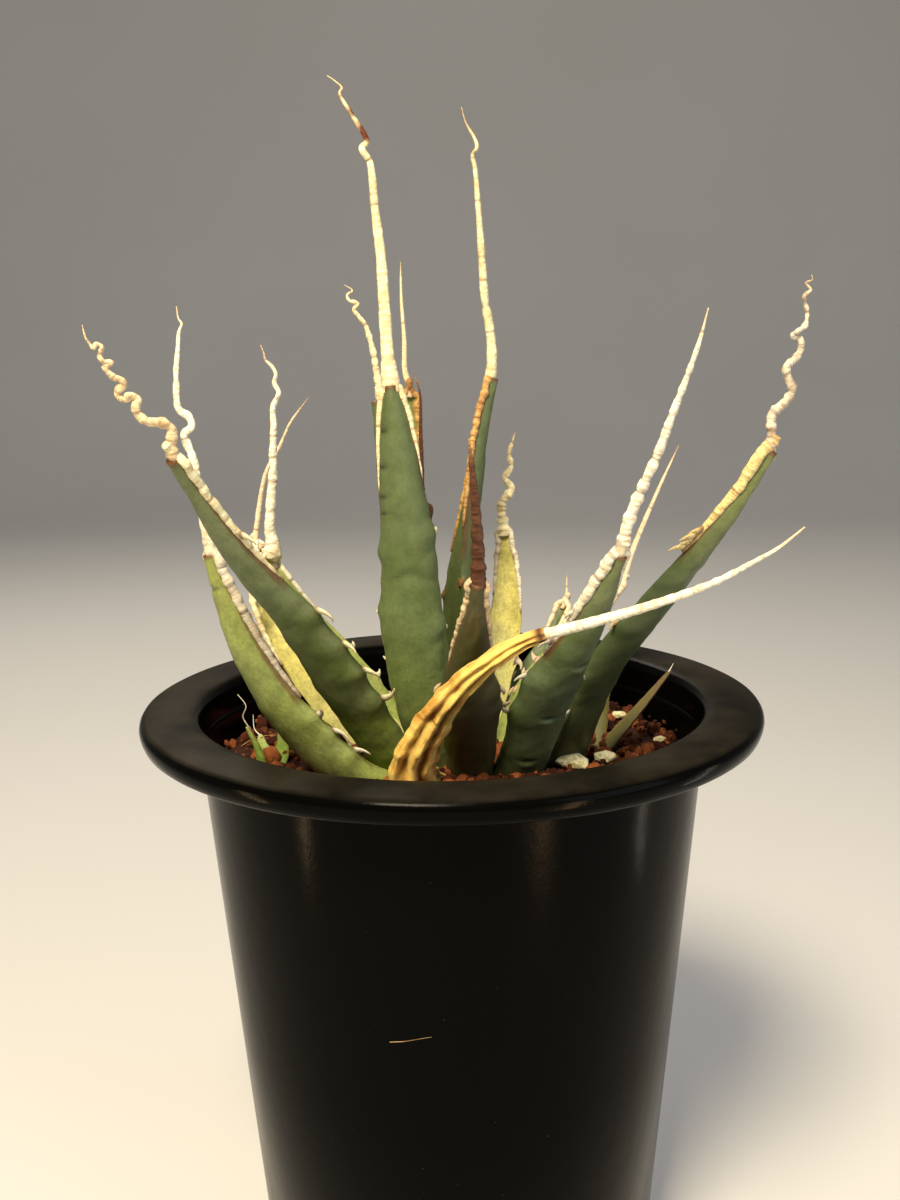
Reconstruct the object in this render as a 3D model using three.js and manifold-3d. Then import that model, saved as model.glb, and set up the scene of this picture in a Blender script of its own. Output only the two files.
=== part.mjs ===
// A potted utah agave with long ivory spines.
// Millimetres, +Z up. The origin is the centre of the pot's flat underside, and -Y is the front.
// Leaves lean out of one short stem. Each leaf is a green blade with a horn of ivory at its tip,
// and the horn runs on down both edges of the blade as a narrow strip.

import * as THREE from 'three';
import { mergeVertices } from 'three/addons/utils/BufferGeometryUtils.js';
import Module from 'manifold-3d';

const wasm = await Module();
wasm.setup();

// Pot
const RIM_RADIUS = 75;
const RIM_HEIGHT = 150;
const MOUTH_RADIUS = 60.5;
const NECK_RADIUS = 61.7;
const FOOT_RADIUS = 48.5;
const POT_WALL = 1.5;
const RIM_THICKNESS = 2.2;
const LIP_DEPTH = 5.5;
const STEP_DEPTH = 8;
const FLOOR_THICKNESS = 2.5;
const DRAIN_RADIUS = 4;
const DRAIN_CIRCLE = 30;
const DRAIN_COUNT = 6;
const POT_FACETS = 40;

// Soil and stem
const SOIL_LEVEL = 136;
const SOIL_RELIEF = 1.1;
const STEM_RADIUS = 8;
const STEM_CENTRE = [3, -4];
const STEM_TOP = 141;
const ROOT_TIP = 104;

// Every pair of touching pieces keeps this gap
const GAP = 0.35;
const SOCKET_GAP = 0.9;
const SLIVER = 0.02;

// Leaf blades
const BROAD_BLADE = 12;
const BROAD_SIDES = 12;
const SLIM_SIDES = 8;
const BLADE_STEP = 9;
const TIP_HALF_WIDTH = 1.5;
const TIP_THICKNESS = 1.7;
const BASE_CROWN = 0.2;
const TIP_CHANNEL = 0.3;
const CHANNEL_FROM = 1.4;
const KEEL = 0.8;
const TOOTH_HEIGHT = 3.2;
const TOOTH_HALF_LENGTH = 1.7;
const TOOTH_HALF_DEPTH = 0.75;
const TOOTH_ROOT = 0.9;

// Horns
const HORN_SIDES = 5;
const STRIP_SIDES = 4;
const STRIP_STEP = 7;
const STRIP_RADIUS = 0.95;
const HORN_END = 0.3;
const HORN_ROOT = 1.25;
const HORN_KNOB = 0.22;
const FRILL_BEND = -0.7;

// A leaf's line runs from its base to its tip, and a horn's from there to its point. faces gives the
// compass angle, in degrees from +X, that the upper side turns to at the base and at the tip.
// right and left place teeth along the edges, seen on the upper side with the tip up, as fractions of
// the length. strip says how far down the right and the left edge the ivory reaches. neck is the base's
// share of the full width, full is where the blade is widest, and taper is low for a blunt tip.
// frills are the curled spurs on the ivory, each a side (1 right, -1 left), a place and a height.
const LEAVES = [
  {
    id: '18', width: 6, thick: 5, faces: [90, 90], neck: 1, full: 0.2, taper: 0.7,
    line: [[2, -5, 139], [-1, -5, 153], [-4, -5, 173], [-5.5, -5, 187.5], [-6, -5, 197.5]],
    horn: { base: 0.8, line: [[-6, -5, 204], [-6, -5, 215.5], [-6, -5, 224], [-7.5, -5, 229]] },
    strip: [0.9, 0.9], right: [], left: [],
  },
  {
    id: '09', width: 13, thick: 4.5, faces: [222, 165], neck: 0.85, full: 0.4, taper: 0.6,
    line: [[6, -2, 139], [2, 3, 151], [0.5, 5, 168], [1.5, 6, 183], [4, 7, 198], [7, 8, 214.5], [10.5, 9, 227]],
    horn: {
      base: 1.7,
      line: [[11, 9, 233.5], [10.5, 9, 239], [9, 8, 252], [8, 8, 268.5], [7, 7, 278], [8, 6.5, 280], [5.5, 7, 285],
        [4.5, 7, 288.5]],
    },
    strip: [0.6, 0.52], right: [0.45, 0.3], left: [0.4, 0.25],
  },
  {
    id: '05', width: 14, thick: 5.5, faces: [95, 88], neck: 0.8, full: 0.42, taper: 0.42,
    line: [[-3, -13, 138.5], [-6, -19, 152], [-8, -22.5, 169.5], [-8.5, -24.5, 188], [-10, -26, 208.5], [-11.5, -26.5, 226.5]],
    horn: {
      base: 2,
      line: [[-12, -26.5, 233], [-12.5, -26, 244], [-14, -24, 262], [-15, -23, 272], [-16.5, -23, 275.5], [-15.5, -22, 278],
        [-18.5, -22, 282.5], [-21, -21.5, 286.5], [-20.5, -21, 288], [-23.5, -21, 290.5]],
    },
    strip: [0.74, 0.77], right: [0.6, 0.45], left: [0.64, 0.4],
  },
  {
    id: '06', width: 11.5, thick: 4, faces: [15, 20], neck: 0.9, full: 0.35, taper: 0.5,
    line: [[-3, -6, 139.5], [-9, -5, 154], [-11, -5, 175.5], [-12.5, -6, 199.5], [-15, -7, 222.5]],
    horn: {
      base: 1.2,
      line: [[-15.5, -7, 229.5], [-16.5, -7, 233.5], [-19, -6.5, 236.5], [-20.5, -7.5, 239.5], [-19.5, -8, 241.5],
        [-21.5, -6, 244.5], [-21, -7.5, 246.5], [-23, -7, 248.5]],
    },
    strip: [0.7, 0.7], right: [0.5], left: [0.56, 0.4],
  },
  {
    id: '07', width: 10, thick: 4, faces: [285, 280], neck: 0.85, full: 0.4, taper: 0.45,
    line: [[1, 4, 139], [-5, 10, 147], [-9, 15, 163.5], [-10.5, 19, 186.5], [-10, 21, 206.5], [-9.5, 21, 223.5]],
    horn: { base: 1.2, line: [[-10.5, 21, 229], [-10.5, 21, 237], [-11, 21, 246], [-11, 21, 255]] },
    strip: [0.62, 0.68], right: [0.5, 0.3], left: [0.55, 0.4],
  },
  {
    id: '10', width: 13, thick: 5.5, faces: [88, 88], neck: 0.85, full: 0.45, taper: 0.75,
    line: [[4.5, -16, 134], [4.5, -21, 142], [4.5, -30, 154], [5, -40, 170], [6, -47, 181], [6.5, -51, 188]],
    horn: { base: 1.6, line: [[6.5, -55, 196], [6, -60, 206.5], [5, -65, 217.5]] },
    strip: [0.72, 0.7], right: [0.6, 0.42], left: [0.58, 0.44],
  },
  {
    id: '11', width: 8.5, thick: 3.5, faces: [250, 250], neck: 0.75, full: 0.6, taper: 0.5,
    line: [[6, 3, 138.5], [9.5, 8, 144], [12, 14, 153], [14, 19, 165], [14.5, 22, 177.5], [14, 24, 187.5]],
    horn: { base: 1.5, line: [[13, 24, 193], [15, 24, 198.5], [14.5, 24.5, 203], [16, 24, 207], [16.5, 24, 212.5]] },
    strip: [0.62, 0.7], right: [0.4], left: [0.5, 0.35],
  },
  {
    id: '17', width: 12, thick: 5, faces: [276, 282], neck: 0.85, full: 0.4, taper: 0.55,
    line: [[0, 7, 134.5], [-6, 18, 143], [-11, 31, 155], [-13.5, 41, 168], [-14.5, 47, 179]],
    horn: { base: 1.4, line: [[-15, 50, 185], [-16, 53, 191.5], [-16, 55, 198]] },
    strip: [0.7, 0.66], right: [0.5, 0.3], left: [0.5, 0.32],
  },
  {
    id: '16', width: 10, thick: 4.5, faces: [235, 235], neck: 0.85, full: 0.4, taper: 0.8,
    line: [[9, 4, 134.5], [14, 12, 141], [20.5, 20, 150.5], [26.5, 27, 160], [30, 31, 166.5]],
    horn: { base: 1, line: [[30.5, 32, 169], [31, 33.5, 174]] },
    strip: [0.75, 0.75], right: [0.5, 0.3], left: [0.5, 0.34],
  },
  {
    id: '15', width: 11, thick: 4.5, faces: [218, 213], neck: 0.85, full: 0.4, taper: 0.55,
    line: [[10, -3, 134], [14, 1, 141], [20, 5, 149.5], [30, 10, 161.5], [43, 16, 174.5]],
    horn: { base: 1.1, line: [[46, 17, 181.5], [49.5, 18, 190.5], [53.5, 19, 199.5], [58, 20, 209]] },
    strip: [0.75, 0.7], right: [0.55, 0.35], left: [0.5, 0.42, 0.34],
  },
  {
    id: '03', width: 12, thick: 4.5, faces: [300, 320], neck: 0.85, full: 0.45, taper: 0.45,
    line: [[-6, -3, 134], [-20, 0, 142], [-34, 4, 155], [-44.5, 8, 169.5], [-47, 10, 178], [-44.5, 11, 184.5]],
    horn: {
      base: 2,
      line: [[-44.5, 11, 191], [-43.5, 11, 200], [-42.5, 11, 212], [-42.5, 11.5, 220.5], [-41.5, 12, 224], [-42, 12.5, 226.5],
        [-41.5, 11, 228.5], [-43, 10.5, 231], [-44.5, 12, 235.5]],
    },
    strip: [0.55, 0.6], right: [0.45, 0.3], left: [0.4, 0.25],
    frills: [[1, 0.94, 3], [-1, 0.92, 3]],
  },
  {
    id: '04', width: 12.5, thick: 4.5, faces: [325, 325], neck: 0.85, full: 0.42, taper: 0.5,
    line: [[-6, 4, 134.5], [-17, 11, 143.5], [-30, 19, 157], [-42, 25, 171], [-50.5, 29, 184]],
    horn: { base: 1.4, line: [[-50.5, 30, 190.5], [-48.5, 30, 201], [-44, 30, 210], [-36, 30, 222]] },
    strip: [0.66, 0.7], right: [0.5, 0.36], left: [0.55, 0.34],
  },
  {
    id: '13', width: 14, thick: 6, faces: [112, 124], neck: 0.85, full: 0.45, taper: 0.62,
    line: [[13, -14, 132.5], [16.5, -19, 141], [20.5, -27, 156.5], [26, -34, 169.5], [30.5, -40, 179.5], [35.5, -46, 192.5]],
    horn: {
      base: 1.8,
      line: [[37, -47, 198.5], [39.5, -48, 205.5], [42.5, -49, 212.5], [45, -50, 220], [48, -51, 228.5], [50, -52, 235],
        [51.5, -52, 241]],
    },
    strip: [0.6, 0.7], right: [0.5, 0.36], left: [0.5, 0.3],
    frills: [[1, 0.66, 3.2], [1, 0.78, 2]],
  },
  {
    id: '14', width: 12, thick: 5, faces: [128, 142], neck: 0.95, full: 0.38, taper: 0.75,
    line: [[20, -9, 132.5], [27, -12, 141], [31, -15, 153], [36, -20, 165], [45, -26, 178.5], [54.5, -31, 192], [62.5, -34, 203.5],
      [67.5, -36, 212.5]],
    horn: {
      base: 1.9,
      line: [[68, -36.5, 216.5], [69, -37, 221], [71.5, -37.5, 224], [70.5, -39, 228.5], [73, -36, 232], [73.5, -37.5, 234],
        [72, -38.5, 236], [74, -36.5, 239.5], [73, -38, 242.5], [75, -37, 247.5]],
    },
    strip: [0.62, 0.78], right: [0.5, 0.34], left: [0.6, 0.46, 0.32, 0.24],
    frills: [[1, 0.64, 4], [1, 0.7, 3.4]],
  },
  {
    id: '01', width: 14, thick: 6, faces: [60, 52], neck: 0.9, full: 0.4, taper: 0.75,
    line: [[-9, -13, 133], [-20, -26, 155.5], [-31, -40, 179], [-41, -53, 196], [-49.5, -68, 215.5]],
    horn: {
      base: 1.8,
      line: [[-49.5, -69.5, 220], [-54.5, -71, 222.5], [-56, -70, 224], [-55, -72.5, 226.5], [-58, -72.5, 226.5],
        [-57, -71.5, 229], [-60, -74, 232], [-61, -71.5, 234.5], [-61, -74.5, 236], [-63, -75, 239.5]],
    },
    strip: [0.7, 0.66], right: [0.5, 0.35], left: [0.56, 0.46, 0.38, 0.29],
    frills: [[-1, 0.8, 3.4]],
  },
  {
    id: '02', width: 13.5, thick: 6, faces: [50, 42], neck: 0.9, full: 0.45, taper: 0.6,
    line: [[-13, -20, 133], [-23, -25, 140.5], [-33, -29, 152.5], [-41, -33, 167], [-46.5, -36, 181.5], [-49.5, -38, 192.5]],
    horn: {
      base: 1.7,
      line: [[-50.5, -38.5, 198.5], [-53, -38, 211], [-54, -38.5, 217.5], [-53, -36.5, 220], [-55, -36.5, 223], [-55, -35, 232.5],
        [-54, -34, 239.5], [-55, -34, 243]],
    },
    strip: [0.7, 0.5], right: [0.5, 0.35], left: [0.42, 0.34, 0.24],
  },
];

// The dried leaf arches over the front of the rosette, folded lengthways and wrinkled
const DRY_LEAF = {
  width: 13.5, thick: 2.6, edge: 0.4, fold: 0.42, crease: 0.35, tipShare: 0.2, steps: 11, faces: [96, 110],
  line: [[-6, -23, 133], [-8.5, -30, 141], [-3, -38.5, 155.5], [5, -46.5, 167], [14.5, -52, 175], [20, -53.5, 177.5]],
  horn: {
    base: 1.5,
    line: [[26, -54, 179], [39, -56, 183], [52.5, -57, 188], [60, -57.5, 192], [65, -58, 195], [70, -58, 199]],
  },
};

// Small offsets of a few leaves on one foot each
const PUPS = [
  {
    name: 'pup_left', foot: [-44, -10], width: 4, thick: 2, colour: '#6f8f3f',
    lines: [
      [[-44.5, -11, 134.5], [-45.5, -12.5, 141], [-48, -13, 147]],
      [[-43, -9.5, 134.5], [-41, -8, 140], [-41.5, -7, 145]],
      [[-44, -8.5, 134.5], [-46, -6, 139], [-47, -3, 142]],
    ],
  },
  {
    name: 'pup_right', foot: [35, 0], width: 4.5, thick: 2.2, colour: '#6c7233',
    lines: [
      [[34.5, -2, 133.5], [40, 0, 139.5], [47, 3, 146.5], [54.5, 6, 154.5]],
      [[35, 1.5, 133.5], [37, 6, 142], [38.5, 8.5, 149], [43.5, 13, 158]],
      [[33, 0, 133.5], [31, 3, 140], [31, 7, 147], [34, 10, 153]],
    ],
  },
];

const vector = (p) => new THREE.Vector3(p[0], p[1], p[2]);
const lerp = THREE.MathUtils.lerp;
const smooth = (x) => THREE.MathUtils.smoothstep(x, 0, 1);
const radians = THREE.MathUtils.degToRad;

// A repeatable number from 0 to 1 for a seed
function chance(seed) {
  const x = Math.sin(seed * 127.1 + 311.7) * 43758.5453;
  return x - Math.floor(x);
}

// Keeps positions alone, joins shared corners and drops the flat triangles at a lathe's axis
function weld(geometry) {
  const bare = geometry.clone();
  bare.deleteAttribute('normal');
  bare.deleteAttribute('uv');
  const merged = mergeVertices(bare, 1e-4);
  const corners = Array.from(merged.index.array);
  const kept = [];
  for (let i = 0; i < corners.length; i += 3) {
    const [a, b, c] = corners.slice(i, i + 3);
    if (a !== b && b !== c && c !== a) kept.push(a, b, c);
  }
  merged.setIndex(kept);
  return merged;
}

function toSolid(geometry) {
  const welded = weld(geometry);
  const mesh = new wasm.Mesh({
    numProp: 3,
    vertProperties: Float32Array.from(welded.attributes.position.array),
    triVerts: Uint32Array.from(welded.index.array),
  });
  return new wasm.Manifold(mesh);
}

function toMesh(name, solid, material) {
  const { vertProperties, triVerts } = solid.getMesh();
  const geometry = new THREE.BufferGeometry();
  geometry.setAttribute('position', new THREE.BufferAttribute(vertProperties, 3));
  geometry.setIndex(new THREE.BufferAttribute(triVerts, 1));
  geometry.computeVertexNormals();
  const mesh = new THREE.Mesh(geometry, material);
  mesh.name = name;
  return mesh;
}

// The largest connected body of a solid, without the loose scraps and slivers that a cut leaves
function mainBody(solid) {
  const bodies = solid.simplify(SLIVER).decompose();
  return bodies.reduce((best, body) => (body.volume() > best.volume() ? body : best));
}

function join(solids) {
  return solids.reduce((whole, solid) => whole.add(solid));
}

const pathOf = (points) => new THREE.CatmullRomCurve3(points.map(vector), false, 'centripetal');

// Points along a curve, each with its direction, the direction that the upper side faces, and the
// direction across to the right. hintAt gives the wanted upper direction for a fraction of the length;
// without it the first one is carried along.
function framesAlong(curve, steps, first, hintAt = null) {
  const frames = [];
  let up = first;
  for (let i = 0; i <= steps; i += 1) {
    const along = curve.getTangentAt(i / steps).normalize();
    if (hintAt) up = hintAt(i / steps);
    up = up.clone().addScaledVector(along, -up.dot(along)).normalize();
    frames.push({ point: curve.getPointAt(i / steps), along, up, across: along.clone().cross(up) });
  }
  return frames;
}

// A closed tube through the frames. section gives the offset across and up for a step and an angle,
// where 0 is the upper side and 90 degrees the right edge. grow pushes both ends out.
function sweep(frames, sides, section, grow = 0) {
  const steps = frames.length - 1;
  const tube = weld(new THREE.CylinderGeometry(1, 1, 1, sides, steps));
  const position = tube.attributes.position;
  for (let i = 0; i < position.count; i += 1) {
    const [x, y, z] = [position.getX(i), position.getY(i), position.getZ(i)];
    const step = Math.round((y + 0.5) * steps);
    const frame = frames[step];
    const onAxis = Math.hypot(x, z) < 0.5;
    const [right, high] = onAxis ? [0, 0] : section(step, Math.atan2(x, z));
    const centre = onAxis ? section(step, 0)[1] / 2 + section(step, Math.PI)[1] / 2 : 0;
    const push = step === 0 ? -grow : step === steps ? grow : 0;
    const at = frame.point.clone().addScaledVector(frame.across, right)
      .addScaledVector(frame.up, high + centre).addScaledVector(frame.along, push);
    position.setXYZ(i, at.x, at.y, at.z);
  }
  return toSolid(tube);
}

// A ball-like section pushed out by grow on every side
function roundSection(radiusAt, flatness, grow) {
  return (step, angle) => [
    Math.sin(angle) * (radiusAt(step) + grow),
    Math.cos(angle) * (radiusAt(step) * flatness + grow),
  ];
}

function facingHint(faces) {
  return (t) => {
    const angle = radians(lerp(faces[0], faces[1], t));
    return new THREE.Vector3(Math.cos(angle), Math.sin(angle), 0);
  };
}

// The frame at one fraction of a blade's length
function frameAt(leaf, t) {
  const curve = pathOf(leaf.line);
  const along = curve.getTangentAt(t).normalize();
  const up = facingHint(leaf.faces)(t);
  up.addScaledVector(along, -up.dot(along)).normalize();
  return { point: curve.getPointAt(t), along, up, across: along.clone().cross(up) };
}

function bladeFrames(leaf) {
  const curve = pathOf(leaf.line);
  const steps = Math.round(curve.getLength() / BLADE_STEP);
  return framesAlong(curve, steps, null, facingHint(leaf.faces));
}

// Half the blade's width at a fraction of its length
function halfWidthAt(leaf, t) {
  const full = leaf.width / 2;
  if (t < leaf.full) return full * lerp(leaf.neck, 1, smooth(t / leaf.full));
  const rest = (1 - t) / (1 - leaf.full);
  return Math.max(TIP_HALF_WIDTH, full * rest ** leaf.taper);
}

// The blade's section: a shallow channel above, a rounded keel below, and a sharp edge on each side
function bladeSection(leaf, steps, grow) {
  return (step, angle) => {
    const t = step / steps;
    const half = halfWidthAt(leaf, t);
    const thickness = lerp(leaf.thick, TIP_THICKNESS, t ** 1.3);
    const channel = half * lerp(-BASE_CROWN, TIP_CHANNEL, Math.min(1, t * CHANNEL_FROM));
    const x = Math.sin(angle);
    const bulge = Math.sqrt(Math.max(0, 1 - x * x));
    const upper = -channel * (1 - x * x);
    const lower = upper - thickness * bulge ** KEEL;
    const isUpper = Math.cos(angle) > 1e-6;
    const high = isUpper ? upper : lower;
    return [x * (half + grow), high + grow * Math.cos(angle)];
  };
}

// A hooked tooth with its root sunk in the edge
function tooth(frame, side, offset, height, bend, grow) {
  const cone = weld(new THREE.ConeGeometry(1, 1, 4, 2));
  const position = cone.attributes.position;
  const out = frame.across.clone().multiplyScalar(side);
  for (let i = 0; i < position.count; i += 1) {
    const rise = position.getY(i) + 0.5;
    const hook = bend * rise * rise * height;
    const at = frame.point.clone()
      .addScaledVector(out, offset - TOOTH_ROOT + rise * (height + TOOTH_ROOT + grow))
      .addScaledVector(frame.along, position.getX(i) * (TOOTH_HALF_LENGTH + grow) * side + hook)
      .addScaledVector(frame.up, position.getZ(i) * (TOOTH_HALF_DEPTH + grow));
    position.setXYZ(i, at.x, at.y, at.z);
  }
  return toSolid(cone);
}

function bladeTeeth(leaf, grow) {
  const teeth = [];
  for (const [side, places] of [[1, leaf.right], [-1, leaf.left]]) {
    places.forEach((t, index) => {
      const seed = Number(leaf.id) * 10 + index + side;
      const height = TOOTH_HEIGHT * lerp(0.7, 1.1, chance(seed));
      const bend = lerp(-0.5, 0.6, chance(seed + 5));
      teeth.push(tooth(frameAt(leaf, t), side, halfWidthAt(leaf, t), height, bend, grow));
    });
  }
  return teeth;
}

function blade(leaf, grow = 0) {
  const frames = bladeFrames(leaf);
  const sides = leaf.width > BROAD_BLADE ? BROAD_SIDES : SLIM_SIDES;
  const body = sweep(frames, sides, bladeSection(leaf, frames.length - 1, grow), grow);
  return join([body, ...bladeTeeth(leaf, grow)]);
}

// The ivory horn: a broad root over the leaf's tip, a knobbly tapering shaft, and a strip down each edge
function horn(leaf, grow = 0) {
  const frames = bladeFrames(leaf);
  const steps = frames.length - 1;
  const tip = frames[steps];
  const seed = Number(leaf.id);
  const start = tip.point.clone().addScaledVector(tip.along, GAP + 0.1);
  const curve = new THREE.CatmullRomCurve3([start, ...leaf.horn.line.map(vector)], false, 'centripetal');
  const hornSteps = leaf.horn.line.length * 2 - 1;
  const shaftFrames = framesAlong(curve, hornSteps, tip.up);
  const radiusAt = (step) => {
    const t = step / hornSteps;
    const knob = 1 + HORN_KNOB * (chance(seed + step * 3) - 0.5);
    return leaf.horn.base * lerp(1, HORN_END, t ** 0.8) * (step === 0 ? HORN_ROOT : knob);
  };
  const parts = [sweep(shaftFrames, HORN_SIDES, roundSection(radiusAt, 0.85, grow), grow)];
  for (const [side, reach] of [[1, leaf.strip[0]], [-1, leaf.strip[1]]]) {
    parts.push(strip(leaf, side, reach, start, grow));
  }
  for (const [side, t, height] of leaf.frills ?? []) {
    const offset = halfWidthAt(leaf, t) + GAP + STRIP_RADIUS * 1.5;
    parts.push(tooth(frameAt(leaf, t), side, offset, height, FRILL_BEND, grow));
  }
  return join(parts);
}

// The ivory edge of one side of a blade, from the horn's root down to a fraction of the length
function strip(leaf, side, reach, start, grow) {
  const curve = pathOf(leaf.line);
  const seed = Number(leaf.id) * 7 + side;
  const count = Math.max(3, Math.round(((1 - reach) * curve.getLength()) / STRIP_STEP));
  const edge = [];
  for (let i = 0; i <= count; i += 1) {
    const t = lerp(1, reach, i / count);
    const frame = frameAt(leaf, t);
    const clear = halfWidthAt(leaf, t) + GAP + STRIP_RADIUS * 0.75;
    edge.push(frame.point.addScaledVector(frame.across, side * clear));
  }
  const top = start.clone().addScaledVector(curve.getTangentAt(1), 1.2);
  const path = new THREE.CatmullRomCurve3([top, ...edge], false, 'centripetal');
  const frames = framesAlong(path, count + 1, facingHint(leaf.faces)(1));
  const radiusAt = (step) => {
    const taper = lerp(1, 0.5, step / (count + 1));
    return STRIP_RADIUS * taper * lerp(0.8, 1.25, chance(seed + step * 2.7));
  };
  return sweep(frames, STRIP_SIDES, roundSection(radiusAt, 1, grow), grow);
}

// The hole that a blade's foot stands in
function socket(leaf) {
  const frames = bladeFrames(leaf);
  const section = bladeSection(leaf, frames.length - 1, SOCKET_GAP);
  return sweep(frames.slice(0, 3), SLIM_SIDES, section, SOCKET_GAP);
}

function dryBlade(grow = 0) {
  const leaf = DRY_LEAF;
  const curve = pathOf(leaf.line);
  const steps = leaf.steps;
  const frames = framesAlong(curve, steps, null, facingHint(leaf.faces));
  const section = (step, angle) => {
    const t = step / steps;
    const half = (leaf.width / 2) * lerp(1, leaf.tipShare, t ** 0.8) * lerp(0.92, 1.1, chance(step));
    const x = Math.sin(angle);
    const fold = half * leaf.fold * (1 - Math.abs(x) ** 1.5);
    const crease = leaf.crease * Math.cos(3 * Math.PI * x + step);
    const thickness = leaf.edge + lerp(leaf.thick, TIP_THICKNESS, t) * Math.sqrt(Math.max(0, 1 - x * x));
    const isEdge = Math.abs(x) > 0.99;
    const offset = (Math.sign(Math.cos(angle)) * thickness) / 2;
    const high = isEdge ? -fold : crease + offset - fold;
    return [x * (half + grow), high + grow * Math.cos(angle)];
  };
  return sweep(frames, BROAD_SIDES, section, grow);
}

function dryHorn(grow = 0) {
  const leaf = DRY_LEAF;
  const end = pathOf(leaf.line);
  const start = end.getPointAt(1).addScaledVector(end.getTangentAt(1), GAP + 0.2);
  const curve = new THREE.CatmullRomCurve3([start, ...leaf.horn.line.map(vector)], false, 'centripetal');
  const steps = 12;
  const frames = framesAlong(curve, steps, new THREE.Vector3(0, 0, 1));
  const radiusAt = (step) => leaf.horn.base * lerp(1, HORN_END, (step / steps) ** 1.5);
  return sweep(frames, HORN_SIDES, roundSection(radiusAt, 0.9, grow), grow);
}

function pup(spec, grow = 0) {
  const leaves = spec.lines.map((line) => {
    const curve = pathOf(line);
    const steps = 4;
    const outward = vector(line[2]).sub(vector(line[0])).setZ(0).normalize();
    const frames = framesAlong(curve, steps, outward.negate());
    const halfAt = (t) => (spec.width / 2) * lerp(1, 0.14, t ** 1.6);
    const section = (step, angle) => {
      const t = step / steps;
      const x = Math.sin(angle);
      const thickness = lerp(spec.thick, 0.8, t) * Math.sqrt(Math.max(0, 1 - x * x));
      const high = Math.cos(angle) > 1e-6 ? -0.2 * thickness : -thickness;
      const edge = Math.abs(x) > 0.99 ? 0 : high;
      return [x * (halfAt(t) + grow), edge + grow * Math.cos(angle)];
    };
    return sweep(frames, 8, section, grow);
  });
  const foot = new THREE.CylinderGeometry(spec.width * 0.45 + grow, spec.width * 0.3 + grow, 6 + 2 * grow, 8);
  foot.rotateX(Math.PI / 2);
  foot.translate(spec.foot[0], spec.foot[1], SOIL_LEVEL - 2.5);
  return join([toSolid(foot), ...leaves]);
}

// A solid turned round +Z from a closed outline of [radius, height] points
function turned(outline, facets, at = [0, 0]) {
  const lathe = new THREE.LatheGeometry(outline.map(([r, z]) => new THREE.Vector2(r, z)), facets);
  lathe.rotateX(Math.PI / 2);
  lathe.translate(at[0], at[1], 0);
  return lathe;
}

const wallRadiusAt = (z) => lerp(FOOT_RADIUS, NECK_RADIUS, z / (RIM_HEIGHT - RIM_THICKNESS));
const boreRadiusAt = (z) => wallRadiusAt(z) - POT_WALL;

function pot() {
  const under = RIM_HEIGHT - RIM_THICKNESS;
  const lipFoot = RIM_HEIGHT - LIP_DEPTH;
  const stepTop = RIM_HEIGHT - STEP_DEPTH;
  const outline = [
    [0, 0], [FOOT_RADIUS - 2, 0], [wallRadiusAt(2), 2],
    [wallRadiusAt(70), 70], [NECK_RADIUS, under],
    [RIM_RADIUS - 3, under], [RIM_RADIUS - 2, lipFoot], [RIM_RADIUS - 0.7, lipFoot + 0.6],
    [RIM_RADIUS, RIM_HEIGHT - 2.4], [RIM_RADIUS - 0.5, RIM_HEIGHT - 0.8], [RIM_RADIUS - 1.8, RIM_HEIGHT],
    [MOUTH_RADIUS + 2.8, RIM_HEIGHT], [MOUTH_RADIUS + 0.8, RIM_HEIGHT - 0.9], [MOUTH_RADIUS, RIM_HEIGHT - 2.8],
    [boreRadiusAt(stepTop) + 0.5, stepTop], [boreRadiusAt(stepTop), stepTop - 1],
    [boreRadiusAt(70), 70], [boreRadiusAt(FLOOR_THICKNESS), FLOOR_THICKNESS], [0, FLOOR_THICKNESS],
  ];
  let solid = toSolid(turned(outline, POT_FACETS));
  for (let i = 0; i < DRAIN_COUNT; i += 1) {
    const angle = (2 * Math.PI * i) / DRAIN_COUNT;
    const drill = new THREE.CylinderGeometry(DRAIN_RADIUS, DRAIN_RADIUS, 4 * FLOOR_THICKNESS, 12);
    drill.rotateX(Math.PI / 2);
    drill.translate(DRAIN_CIRCLE * Math.cos(angle), DRAIN_CIRCLE * Math.sin(angle), 0);
    solid = solid.subtract(toSolid(drill));
  }
  return solid;
}

// The soil fills the pot up to a bumpy surface
function soil() {
  const side = (z) => [boreRadiusAt(z) - GAP, z];
  const outline = [[0, FLOOR_THICKNESS + GAP], side(FLOOR_THICKNESS + GAP), side(70), side(SOIL_LEVEL - 1)];
  const rings = [52, 42, 32, 22, 0];
  outline.push(...rings.map((r) => [r, SOIL_LEVEL]));
  const body = weld(turned(outline, POT_FACETS));
  const position = body.attributes.position;
  for (let i = 0; i < position.count; i += 1) {
    const [x, y, z] = [position.getX(i), position.getY(i), position.getZ(i)];
    if (z < SOIL_LEVEL - 0.01) continue;
    const swell = 0.6 * Math.sin(x * 0.13 + 1) * Math.cos(y * 0.11);
    position.setZ(i, z + swell + SOIL_RELIEF * 2 * (chance(Math.round(x * 7) + Math.round(y * 13)) - 0.5));
  }
  return toSolid(body);
}

function stem(grow = 0) {
  const wide = STEM_RADIUS + grow;
  const outline = [
    [0, ROOT_TIP - grow], [2 + grow, ROOT_TIP + 2], [wide * 0.6, 118], [wide, 129],
    [wide, SOIL_LEVEL - 1], [wide * 0.7, STEM_TOP - 2], [wide * 0.3, STEM_TOP + grow], [0, STEM_TOP + grow],
  ];
  return toSolid(turned(outline, 12, STEM_CENTRE));
}

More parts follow.
